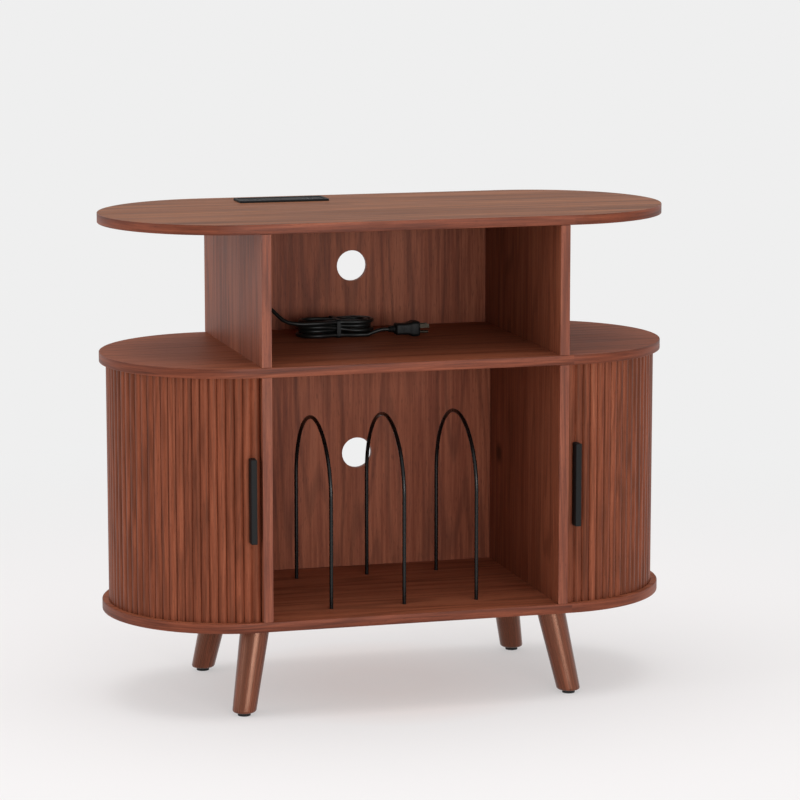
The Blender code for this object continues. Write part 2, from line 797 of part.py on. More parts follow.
def least_self_gap(points):
    """The least gap between two lengths of the hank that aren't next to each other along it."""
    places = np.array(points)
    shares = np.arange(self_gap_samples)[:, None, None] / self_gap_samples
    fine = (places[:-1] + shares * np.diff(places, axis=0)).transpose(1, 0, 2).reshape(-1, 3)
    along = np.concatenate([[0], np.cumsum(np.linalg.norm(np.diff(fine, axis=0), axis=1))])
    least = math.inf
    for i, place in enumerate(fine):
        far = along > along[i] + cord_diameter * self_gap_start_diameters
        if far.any():
            least = min(least, np.linalg.norm(fine[far] - place, axis=1).min())
    return least - cord_diameter


def make_cord_tube(name, points, resolution, stand, jacket):
    curve = bpy.data.curves.new(name, "CURVE")
    curve.dimensions = "3D"
    curve.bevel_depth = cord_diameter / 2
    curve.bevel_resolution = resolution
    curve.use_fill_caps = True
    set_route(curve, points)
    curve.materials.append(jacket)
    tube = bpy.data.objects.new(name, curve)
    bpy.context.scene.collection.objects.link(tube)
    tube.parent = stand


def make_cord(exit_place, stand, jacket, black, steel):
    """The mains lead: down to the hank, round the hank, and on to the plug."""
    hank = hank_points()
    right, down = Vector((1, 0, 0)), Vector((0, 0, -1))
    start = exit_place + down * (relief_length + seat_gap)
    lead = smooth_route(start, down, lead_route, hank[0] - right * seat_gap, right)
    plug_z = shelf_top + seat_gap + plug_size[2] / 2
    plug_face = Vector((*plug_place, plug_z))
    boot_tip = plug_face - right * (seat_gap + boot_length + seat_gap)
    tail = smooth_route(hank[-1] + right * seat_gap, right, tail_route, boot_tip, right)
    make_cord_tube("cord_lead", lead, cord_resolution, stand, jacket)
    make_cord_tube("cord_hank", hank, hank_resolution, stand, jacket)
    make_cord_tube("cord_tail", tail, cord_resolution, stand, jacket)
    make_tie(stand, black)
    make_plug(plug_face, stand, black, steel)
    runs = [sum((b - a).length for a, b in zip(run, run[1:])) for run in (lead, hank, tail)]
    print(f"cord: {sum(runs):.3f} m long, {runs[1]:.3f} m of it in the hank")
    print(f"hank: least gap to itself {least_self_gap(hank) * 1000:.2f} mm")


def rounded_rectangle(half_x, half_y, radius, steps):
    points = []
    for corner in range(4):
        x, y = (half_x, half_y) if corner % 2 == 0 else (half_y, half_x)
        for i in range(steps + 1):
            turn = math.pi / 2 * i / steps
            across = x - radius + radius * math.cos(turn)
            up = y - radius + radius * math.sin(turn)
            for _ in range(corner):
                across, up = -up, across
            points.append((across, up))
    return points


def make_tie(stand, black):
    """A flat strap round the hank's waist."""
    waist = hank_fold_diameters - hank_draw_diameters
    reach = waist + hank_pitch_diameters * max(hank_knot_pitches)
    half_y = (reach + 1 / 2) * cord_diameter + tie_room
    half_z = (hank_layer_diameters * len(hank_climb_turns) + 1) * cord_diameter / 2 + seat_gap
    x, y = hank_centre
    z = hank_low + hank_layer_diameters * len(hank_climb_turns) * cord_diameter / 2
    radius = cord_diameter / 2
    loops = []
    for grow in (tie_thickness, 0):
        sizes = (half_y + grow, half_z + grow, radius + grow)
        loops.append(rounded_rectangle(*sizes, tie_corner_steps))
    shape = bmesh.new()
    for loop in loops:
        for face in (-tie_width / 2, tie_width / 2):
            ring = [shape.verts.new((x + face, y + across, z + up)) for across, up in loop]
            for start, end in zip(ring, ring[1:] + ring[:1]):
                shape.edges.new((start, end))
    edges = list(shape.edges)
    count = len(loops[0])
    rings = [edges[i * count:(i + 1) * count] for i in range(4)]
    for first, second in ((0, 1), (1, 3), (3, 2), (2, 0)):
        bmesh.ops.bridge_loops(shape, edges=rings[first] + rings[second])
    piece("cord_tie", shape, black, stand, smooth_angle=40)


def make_plug(face, stand, black, steel):
    """A moulded plug with a narrow grip and a wide front, its boot, two blades and an earth pin."""
    body = bmesh.new()
    rings = []
    for along, wide in plug_section_shares:
        sizes = [low + (high - low) * wide for low, high in zip(plug_grip_size, plug_size[1:])]
        radius = min(sizes) * plug_corner_share
        loop = rounded_rectangle(sizes[0] / 2, sizes[1] / 2, radius, plug_corner_steps)
        x = face.x + along * plug_size[0]
        rings.append([(x, face.y + across, face.z + up) for across, up in loop])
    add_loft(body, rings)
    plug = piece("plug_body", body, black, stand, smooth_angle=40)
    boot = bmesh.new()
    profile = ((seat_gap, boot_root_radius), (seat_gap + boot_length, boot_tip_radius))
    add_turned(boot, profile, face, (-1, 0, 0), relief_steps)
    piece("plug_boot", boot, black, stand, smooth_angle=40)
    pockets = bmesh.new()
    for row, name in row_names.items():
        blade = bmesh.new()
        add_blade(blade, face, row, 0)
        piece(f"plug_blade_{name}", blade, steel, stand)
        add_blade(pockets, face, row, hole_clearance)
    pin = bmesh.new()
    add_earth_pin(pin, face, 0)
    piece("plug_earth_pin", pin, steel, stand, smooth_angle=40)
    add_earth_pin(pockets, face, hole_clearance)
    carve(plug, cutter("plug_pockets", pockets, stand))


def prong_ends(face, room):
    """Where a prong starts inside the plug and where it ends, grown by some room."""
    front = face.x + plug_size[0]
    return front - prong_root_length - room, front + prong_length + room


def add_blade(shape, face, row, room):
    start, end = prong_ends(face, room)
    half_y, half_z = blade_size[0] / 2 + room, blade_size[1] / 2 + room
    y, z = face.y + row * blade_spacing / 2, face.z + blade_raise
    add_box(shape, (start, y - half_y, z - half_z), (end, y + half_y, z + half_z))


def add_earth_pin(shape, face, room):
    start, end = prong_ends(face, room)
    place = (start, face.y, face.z - ground_pin_drop)
    add_cylinder(shape, ground_pin_radius + room, end - start, place, (1, 0, 0), screw_steps)


def main():
    clear_scene()
    walnut = material("walnut_laminate", (128, 82, 64), 0.45)
    black_metal = material("black_powder_coat", (28, 27, 27), 0.45)
    steel = material("zinc_plated_steel", (165, 165, 165), 0.35, 1.0)
    black_plastic = material("black_moulded_plastic", (33, 33, 34), 0.4)
    charger_plastic = material("charger_plastic", (58, 58, 60), 0.35)
    jacket = material("cord_jacket", (30, 31, 30), 0.5)
    rubber = material("black_rubber", (24, 24, 24), 0.8)

    stand = empty("record_player_stand", place=(0, front_overhang / 2, 0))
    bottom = make_panel("bottom_panel", leg_height, stand, walnut)
    shelf = make_panel("middle_shelf", shelf_low, stand, walnut)
    top = make_panel("top_panel", top_low, stand, walnut)
    make_back_panel("upper_back_panel", upper_back_rear, shelf_top, top_low, stand, walnut)
    make_back_panel("lower_back_panel", lower_back_rear, bottom_top, shelf_low, stand, walnut)
    screw_holes = make_base_screws(stand, steel)
    bolt_holes = make_hanger_bolts(stand, steel)
    peg_holes = make_rack(stand, black_metal)
    charger_hole, housing, exit_place = make_charger(stand, charger_plastic, steel)
    make_relief(exit_place, housing, stand, black_plastic)
    make_cord(exit_place, stand, jacket, black_plastic, steel)

    for side, name in side_names.items():
        make_upright("upper_side", side, panel_radius, shelf_top, top_low, stand, walnut)
        lower = make_upright("lower_divider", side, divider_rear, bottom_top, shelf_low, stand, walnut)
        carve(lower, screw_holes)
        make_liner(side, stand, walnut)
        for row in row_names:
            carve(make_leg(side, row, stand, walnut, rubber), bolt_holes)
        axle = empty(f"door_axis_{name}", stand, (side * end_centre_x, 0, 0))
        make_door(side, axle, walnut, black_metal, steel)

    low, high = bottom_top - groove_depth, shelf_low + groove_depth
    floor_grooves = make_groove_cutter("floor_grooves", low, bottom_top + overrun, stand)
    head_grooves = make_groove_cutter("head_grooves", shelf_low - overrun, high, stand)
    carve(bottom, floor_grooves, screw_holes, bolt_holes, peg_holes)
    carve(shelf, head_grooves)
    carve(top, charger_hole)


if __name__ == "__main__":
    main()
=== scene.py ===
"""Record player stand: the finished look of every piece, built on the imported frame.

Metres, +Z up, -Y is the front. Places that two pieces share are read from the frame's boxes. A door's
angles are in degrees, counted from the front-most point of its half-round end outwards."""

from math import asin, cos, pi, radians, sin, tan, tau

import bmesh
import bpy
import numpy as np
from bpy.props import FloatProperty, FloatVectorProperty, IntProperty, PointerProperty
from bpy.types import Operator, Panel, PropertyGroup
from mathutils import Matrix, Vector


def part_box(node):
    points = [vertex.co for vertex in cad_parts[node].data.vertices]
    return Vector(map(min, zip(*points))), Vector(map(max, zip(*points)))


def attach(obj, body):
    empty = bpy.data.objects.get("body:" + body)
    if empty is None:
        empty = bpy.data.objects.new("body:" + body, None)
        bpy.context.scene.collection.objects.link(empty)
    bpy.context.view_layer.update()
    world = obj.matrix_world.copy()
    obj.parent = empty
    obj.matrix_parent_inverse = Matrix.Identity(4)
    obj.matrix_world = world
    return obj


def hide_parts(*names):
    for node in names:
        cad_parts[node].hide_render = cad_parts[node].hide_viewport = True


bl_info = {
    "name": "Record Player Stand",
    "version": (1, 0, 0),
    "blender": (4, 5, 0),
    "location": "View3D > Sidebar > Record Stand",
    "description": "Finishes the boards, doors, rack, charging unit and cord of a record player stand",
    "category": "Object",
}

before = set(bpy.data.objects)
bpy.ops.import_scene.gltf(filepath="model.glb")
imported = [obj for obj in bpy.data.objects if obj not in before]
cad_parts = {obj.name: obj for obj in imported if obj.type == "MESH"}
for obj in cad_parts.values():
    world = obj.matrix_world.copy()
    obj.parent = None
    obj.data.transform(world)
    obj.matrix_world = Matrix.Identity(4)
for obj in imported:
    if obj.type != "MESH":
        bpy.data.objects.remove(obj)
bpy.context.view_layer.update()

# Levels and places read from the frame
top_low, top_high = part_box("top_panel")
shelf_low, shelf_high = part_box("middle_shelf")
base_low, base_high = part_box("bottom_panel")
housing_low, housing_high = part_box("charger_housing")
face_low, face_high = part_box("socket_face")
bezel_low, bezel_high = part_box("charger_bezel")
relief_low, relief_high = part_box("strain_relief")
plug_low, plug_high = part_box("plug_body")
boot_low, boot_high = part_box("plug_boot")
usb_low, usb_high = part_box("usb_shell")
centre_y = (top_low.y + top_high.y) / 2
end_radius = (top_high.y - top_low.y) / 2
end_centre_x = top_high.x - end_radius
side_names = {-1: "left", 1: "right"}
row_names = {-1: "front", 1: "rear"}

# Boards: facets of their edging and grooves, rounding of plain nodes past an angle in degrees, and how
# far cutters run on
edging_steps = 4
groove_steps = 90
board_bevel = 0.0004
bevel_angle = 50
overrun = 0.002

# Tambour doors, as in the frame
slat_back_distance = 0.1825
slat_thickness = 0.007
slat_count = 24
slat_pitch_angle = 4.0
lead_flute_angle = 4.13
door_lead_angle = -2.08
curtain_edge_angle = 0.35
canvas_thickness = 0.0009
canvas_steps_per_slat = 4
groove_depth = 0.006
groove_radii = (0.1805, 0.190)
groove_angles = (-2.23, 182.5)
slat_centre_distance = slat_back_distance + slat_thickness

# How far apart the slats, doors and legs lie on the veneer that they are cut from
slat_grain_step = 0.061
door_grain_step = 0.9
leg_grain_places = (0.3, 0.2, 0.1)

# Where the veneer's map goes on, past a slat's side, and at the lead slat's second flute, side and back
slat_side_start = 0.02
second_start, stile_side_start, stile_back_start = 0.013, 0.03, 0.035

# Legs
leg_foot_radius = 0.0186
leg_top_radius = 0.0230
leg_rim = 0.004
leg_steps = 64
leg_rings = 8
pad_bevel = 0.0006

# Rack wires and screws, as in the frame: a screw's head and shank radius, head height and length
wire_radius = 0.003
peg_clearance = 0.0003
arch_steps = 72
base_screw_sizes = (0.00425, 0.0022, 0.0030, 0.038)
handle_screw_sizes = (0.0034, 0.0018, 0.0020, 0.0197)
turned_steps = 32

# A screw's shape as shares of its sizes, its cross recess likewise, and the room round a base screw
screw_face_share, screw_rim_height = 0.94, 0.0003
screw_taper_share, screw_tip_share = 0.9, 0.3
cross_reach_share, cross_width_share = 0.55, 0.12
cross_depth_share, cross_taper_share, cross_overrun = 0.75, 0.45, 0.001
head_room_share, shank_room_share = 1.08, 1.15

# Charging unit: frame, blade slots, earth holes, and the grooved lands of its outlets
bezel_rim = 0.0055
bezel_edge = 0.0010
bezel_steps = (5, 3)
face_corner = 0.0006
corner_steps = 8
clamp_bevel = 0.0005
outlet_shares = (-0.34, -0.08)
outlet_depth = 0.006
blade_slot_half = (0.0040, 0.0011)
blade_row_offset = 0.00635
earth_offset, earth_radius, earth_half_angle, earth_steps = 0.0100, 0.0026, 110, 16
land_reaches = (0.0152, 0.0148)
land_narrowing, land_corner, land_offset, land_depth = 0.0010, 0.0035, 0.0020, 0.0003

# Ports: their places, openings, tongues, and the plate that each tongue stands on
port_offset = 0.0042
port_half = (0.00345, 0.0059)
port_room = 0.0003
port_floor = 0.0006
tongue_reach = (0.0004, 0.0024)
tongue_half_y = 0.0052
tongue_bevel = 0.0002
plate_gap, plate_thickness = 0.0001, 0.0010

# Cord: its route is the frame's, and its hank is counted in its diameters
cord_diameter = 0.0062
cord_gap = 0.0003
lead_route = (
    (-0.1815, 0.1330, 0.6600),
    (-0.1845, 0.1255, 0.6360),
    (-0.1755, 0.1080, 0.6120),
    (-0.1570, 0.0905, 0.5920),
    (-0.1400, 0.0775, 0.5760),
    (-0.1200, 0.0705, 0.5715),
)
tail_route = ((-0.0020, 0.0676, 0.5524), (0.0100, 0.0664, 0.5566))
hank_centre = (-0.0529, 0.0985)
hank_low_z = 0.5507
hank_half_run = 5.4
hank_fold = 3.0
hank_draw = 1.1
hank_pitch = 1.4
hank_layer = 1.1
hank_knot_turns = (0, 1.375, 1.875, 2.875, 3.375, 4.375, 4.875, 6.25)
hank_knot_pitches = (1.375, 0, 0, 1, 1, 0, 0, 1.375)
hank_climb_turns = (1.5, 3.0, 4.5)
hank_turn_points = 48
route_points = 8

# Ribbed pieces: radius at the root and the tip, ribs, depth between ribs, and points for each rib
boot_ribs = (0.0065, 0.0045, 4, 0.0007, 8)
relief_ribs = (0.0060, 0.0045, 6, 0.0006, 6)
relief_neck_radius = 0.0038
relief_collar = (0.0003, 0.003)
tie_bevel = 0.0002

# Plug: its grip, then share of its length, share of the way from grip to front, and size of a section
plug_grip = (0.011, 0.009)
plug_corner_share = 0.45
plug_sections = (
    (0.0, 0.0, 0.82), (0.03, 0.0, 0.95), (0.08, 0.0, 1.0), (0.30, -0.12, 1.0), (0.52, 0.02, 1.0),
    (0.62, 0.45, 1.0), (0.70, 0.92, 1.0), (0.76, 1.0, 1.0), (0.93, 1.0, 1.0), (0.98, 1.0, 0.97),
    (1.0, 1.0, 0.90),
)
ridge_count = 5
ridge_start_share, ridge_pitch_share, ridge_height_share = 0.16, 0.075, 0.6
ridge_width, ridge_root, ridge_rise = 0.0011, 0.0015, 0.0003

# Camera, solved from the stand's outlines in the photograph
camera_lens = 147.78
camera_sensor = 36
camera_place = (-1.3572, -4.92995, 1.2990)
camera_aim = (0.0259, -0.00405, 0.4554)

# Softboxes: place, what they aim at, and size
softboxes = {
    "key": ((0.25, -3.8, 0.8), (0, 0, 0.45), (2.2, 1.1)),
    "left": ((-3.4, -0.3, 1.6), (0, 0, 0.4), (1.6, 2.2)),
    "top": ((-0.05, -0.1, 3.4), (0, 0, 0.4), (3.0, 2.6)),
}

# Floor: half its width, how far out the warm tint reaches that is painted under the stand as bounce
# light from the wood, and its fading into the backdrop
floor_reach = 12.0
painted_bounce_reach = (0.08, 0.28)
fade_reach = (0.6, 2.2)
fade_start = 0.5

# Walnut grain: mm across and along it, the noise's detail and its start, then how much of it shows.
# Veneer leaves, bands, stripes and streaks make it paler or darker. Swells carry the growth lines.
# Pores are dashes of 0.4 mm in the real wood, drawn 0.9 mm wide so that they show. The print on the
# level boards and the backs is drawn 1.4 to 1.9 times coarser than all this, by its spread.
grain_parts = {
    "leaf": (90, 2600, 1.0, 0.0),
    "band": (14, 420, 2.0, 3.7),
    "stripe": (4.6, 120, 2.0, 6.3),
    "streak": (2.2, 60, 2.0, 8.1),
    "swell": (52, 760, 1.0, 5.3),
    "pore": (0.9, 11, 1.0, 1.9),
}
tone_reaches = {
    "leaf": (0.35, 0.65),
    "band": (0.32, 0.68),
    "stripe": (0.34, 0.66),
    "streak": (0.34, 0.66),
}
pore_reach = (0.60, 0.72)
grain_roughness = 0.6
leaf_and_band_share = 0.46
stripe_share = 0.30
streak_share = 0.24
dark_level, middle_level, pale_level = 0.10, 0.52, 0.92
line_phase = 60.0
line_reach = (0.35, 1.0)
line_strength = 0.30
pore_strength = 0.42
knot_reach = (0.35, 1.0)
knot_strength = 0.85
streak_gloss = (-0.05, 0.06)
streak_height = 0.4
grain_relief = {"Strength": 0.22, "Distance": 0.0003}
print_saturation = 0.96

# The part of a noise that shows; grit: its change of gloss and its relief; weave: waviness and relief
noise_reach = (0.3, 0.7)
grit_gloss = (0.88, 1.12)
grit_strength = 0.35
weave_waviness = 0.3
weave_relief = {"Strength": 0.5, "Distance": 0.0002}


def linear(code):
    """Linear RGBA of an sRGB hex value such as #80523F."""
    parts = [int(code[i:i + 2], 16) / 255 for i in (1, 3, 5)]
    return (*(((p + 0.055) / 1.055) ** 2.4 if p > 0.04045 else p / 12.92 for p in parts), 1.0)


def length_setting(name, description, default):
    return FloatProperty(name=name, description=description, default=default, unit="LENGTH")


def power_setting(name, description, default):
    return FloatProperty(name=name, description=description, default=default, unit="POWER")


def colour_setting(name, description, code):
    return FloatVectorProperty(name=name, description=description, default=linear(code),
                               subtype="COLOR", size=4, min=0, max=1)


class StandSizes(PropertyGroup):
    """Sizes of the finish that the frame leaves open."""

    edging_thickness: length_setting("Edging", "Thickness of the edging strip", 0.001)
    edging_radius: length_setting("Edging radius", "Rounding of the edging's corners", 0.0008)
    slat_gap: length_setting("Slat gap", "Gap between two slats of a door", 0.0005)
    flute_rise: length_setting("Flute rise", "Height of a slat's round face", 0.003)
    bezel_corner: length_setting("Bezel corner", "Corner radius of the charging unit", 0.0025)
    round_steps: IntProperty(
        name="Round steps", description="Facets of a half-round end", default=96, min=24
    )


class StandColours(PropertyGroup):
    """Colours of the walnut finishes, the blacks and the charging unit."""

    walnut_light: colour_setting("Walnut, light", "Palest streaks of the grain", "#95563D")
    walnut_middle: colour_setting("Walnut, middle", "Main colour of the grain", "#7A3F2A")
    walnut_dark: colour_setting("Walnut, dark", "Darkest bands of the grain", "#542718")
    walnut_line: colour_setting("Walnut, lines", "Growth lines and pores", "#38180D")
    charger: colour_setting("Charging unit", "Moulded body of the charging unit", "#141415")
    cord: colour_setting("Cord", "Jacket of the cord", "#131413")
    metal: colour_setting("Black metal", "Coated handles and wires", "#0C0C0C")


class StudioSettings(PropertyGroup):
    """Floor, backdrop and lamps."""

    backdrop: colour_setting("Backdrop", "Colour behind the stand", "#EFEFEF")
    floor: colour_setting("Floor", "Colour of the floor", "#F4F0F0")
    # Warm colour painted on the floor under the stand: painted bounce light from the wood, in the
    # stand's shadow
    floor_painted_bounce: colour_setting("Floor near", "Floor that the stand's wood warms", "#EBC8BB")
    world_level: FloatProperty(name="World", description="Even light from all round", default=0.66)
    key_power: power_setting("Key", "Softbox in front", 60.0)
    left_power: power_setting("Left", "Softbox at the left", 22.0)
    top_power: power_setting("Top", "Softbox overhead", 48.0)


class StandSettings(PropertyGroup):
    """All settings of the stand."""

    sizes: PointerProperty(type=StandSizes)
    colours: PointerProperty(type=StandColours)
    studio: PointerProperty(type=StudioSettings)


def settings():
    return bpy.context.scene.record_stand


# Materials: a Map Range reads from 1 to 2 and gives 3 to 4, and a Mix goes from colour 6 to colour 7


def add_node(tree, kind, inputs=(), output=0, **node_settings):
    """Adds a node with values or links for its inputs, and gives one of its outputs."""
    node = tree.nodes.new(f"ShaderNode{kind}")
    for name, value in node_settings.items():
        setattr(node, name, value)
    for socket, value in dict(inputs).items():
        if isinstance(value, bpy.types.NodeSocket):
            tree.links.new(value, node.inputs[socket])
        else:
            node.inputs[socket].default_value = value
    return node.outputs[output] if node.outputs else None


def new_finish(name, roughness, gloss=0.5, metallic=0.0, tint="#FFFFFF"):
    """A material with its Principled shader."""
    made = bpy.data.materials.new(name)
    made.use_nodes = True
    shader = made.node_tree.nodes["Principled BSDF"]
    shader.inputs["Roughness"].default_value = roughness
    shader.inputs["Specular IOR Level"].default_value = gloss
    shader.inputs["Metallic"].default_value = metallic
    shader.inputs["Specular Tint"].default_value = linear(tint)
    return made, made.node_tree, shader


def link_look(tree, shader, colour, height, roughness=None, **relief):
    """Links a shader's colour, its relief from a height, and its roughness where that varies."""
    tree.links.new(colour, shader.inputs["Base Color"])
    if roughness:
        tree.links.new(roughness, shader.inputs["Roughness"])
    tree.links.new(add_node(tree, "Bump", {"Height": height, **relief}), shader.inputs["Normal"])


def walnut(name, grain_axis, roughness, gloss, mapped=False, tone=0.0, broad=0.20, spread=1.0,
           turn=0.0, knot=None, tint="#FFFFFF"):
    """Walnut grain along one axis of space, or along a piece's own map.

    tone makes it paler, broad is the share of its leaves, spread widens all of its parts, turn moves
    its hue towards yellow in shares of the whole circle, knot is a mapping that makes a knot's reach a
    unit ball, and tint colours its gloss."""
    made, tree, shader = new_finish(name, roughness, gloss, tint=tint)
    if mapped:
        place = add_node(tree, "UVMap", uv_map="grain")
    else:
        place = add_node(tree, "TexCoord", output="Object")
    noises = {}
    for part, (across_mm, along_mm, detail, start) in grain_parts.items():
        scale = [1000 / across_mm / spread] * 3
        scale[grain_axis] = 1000 / along_mm / spread
        fitted = {"Vector": place, "Location": (start, start, start), "Scale": scale}
        noise = {"Vector": add_node(tree, "Mapping", fitted), "Scale": 1.0, "Detail": detail}
        noises[part] = add_node(tree, "TexNoise", {**noise, "Roughness": grain_roughness})

    shares = {
        "leaf": (0, broad),
        "band": (0, leaf_and_band_share - broad),
        "stripe": (tone, stripe_share + tone),
        "streak": (0, streak_share),
    }
    level = 0.0
    for part, (least, most) in shares.items():
        low, high = tone_reaches[part]
        limits = {"Value": noises[part], 1: low, 2: high, 3: least, 4: most}
        level = add_node(tree, "Math", {0: level, 1: add_node(tree, "MapRange", limits)})

    colours = settings().colours
    colour = tuple(colours.walnut_dark)
    shades = (
        (dark_level, middle_level, colours.walnut_middle),
        (middle_level, pale_level, colours.walnut_light),
    )
    for low, high, shade in shades:
        share = add_node(tree, "MapRange", {"Value": level, 1: low, 2: high})
        pair = {0: share, 6: colour, 7: tuple(shade)}
        colour = add_node(tree, "Mix", pair, output=2, data_type="RGBA")

    # Growth lines are contours of a slow noise, so that they close into flames along the grain
    swell = add_node(tree, "Math", {0: noises["swell"], 1: line_phase}, operation="MULTIPLY")
    lines = {"Value": add_node(tree, "Math", {0: swell}, operation="SINE")}
    lines.update({1: line_reach[0], 2: line_reach[1], 4: line_strength})
    low, high = pore_reach
    pores = {"Value": noises["pore"], 1: low, 2: high, 4: pore_strength}
    lines, pores = (add_node(tree, "MapRange", limits) for limits in (lines, pores))
    darks = [lines, pores]
    if knot:
        away = add_node(tree, "Mapping", {"Vector": place, **knot})
        away = {"Value": add_node(tree, "VectorMath", {0: away}, output="Value", operation="LENGTH")}
        away.update({1: knot_reach[0], 2: knot_reach[1], 3: knot_strength, 4: 0.0})
        darks.append(add_node(tree, "MapRange", away))
    for share in darks:
        pair = {0: share, 6: colour, 7: tuple(colours.walnut_line)}
        colour = add_node(tree, "Mix", pair, output=2, data_type="RGBA")
    if turn:
        shifted = {"Hue": 0.5 + turn, "Saturation": print_saturation, "Color": colour}
        colour = add_node(tree, "HueSaturation", shifted)

    low, high = noise_reach
    glossier, duller = (roughness + change for change in streak_gloss)
    limits = {"Value": noises["streak"], 1: low, 2: high, 3: glossier, 4: duller}
    rough = add_node(tree, "MapRange", limits)
    raised = add_node(tree, "MapRange", {**limits, 3: 0.0, 4: streak_height})
    height = add_node(tree, "Math", {0: raised, 1: pores}, operation="SUBTRACT")
    link_look(tree, shader, colour, height, rough, **grain_relief)
    return made


def speckled(name, colour, roughness, grit_mm, depth, gloss=0.5, variation=0.12, metallic=0.0):
    """An even finish with a fine grit in its colour, gloss and relief."""
    made, tree, shader = new_finish(name, roughness, gloss, metallic)
    colour = linear(colour) if colour.startswith("#") else getattr(settings().colours, colour)
    shares = (1 - variation, 1 + variation)
    dark, pale = ((*(min(1, part * share) for part in colour[:3]), 1.0) for share in shares)
    noise = {"Vector": add_node(tree, "TexCoord", output="Object"), "Scale": 1000 / grit_mm}
    grit = add_node(tree, "TexNoise", noise)
    mixed = add_node(tree, "Mix", {0: grit, 6: dark, 7: pale}, output=2, data_type="RGBA")
    (low, high), (glossier, duller) = noise_reach, grit_gloss
    limits = {"Value": grit, 1: low, 2: high, 3: roughness * glossier, 4: roughness * duller}
    rough = add_node(tree, "MapRange", limits)
    link_look(tree, shader, mixed, grit, rough, Strength=grit_strength, Distance=depth)
    return made


def woven(name, dark, pale, thread_mm, roughness):
    """A plain weave on a piece's own map, one thread over the next."""
    made, tree, shader = new_finish(name, roughness)
    place = add_node(tree, "UVMap", uv_map="grain")
    wave = {"Vector": place, "Scale": 1000 / thread_mm / tau, "Distortion": weave_waviness}
    threads = [add_node(tree, "TexWave", wave, output="Fac", bands_direction=axis) for axis in "XY"]
    weave = add_node(tree, "Math", {0: threads[0], 1: threads[1]}, operation="MULTIPLY")
    pair = {0: weave, 6: linear(dark), 7: linear(pale)}
    mixed = add_node(tree, "Mix", pair, output=2, data_type="RGBA")
    link_look(tree, shader, mixed, weave, **weave_relief)
    return made


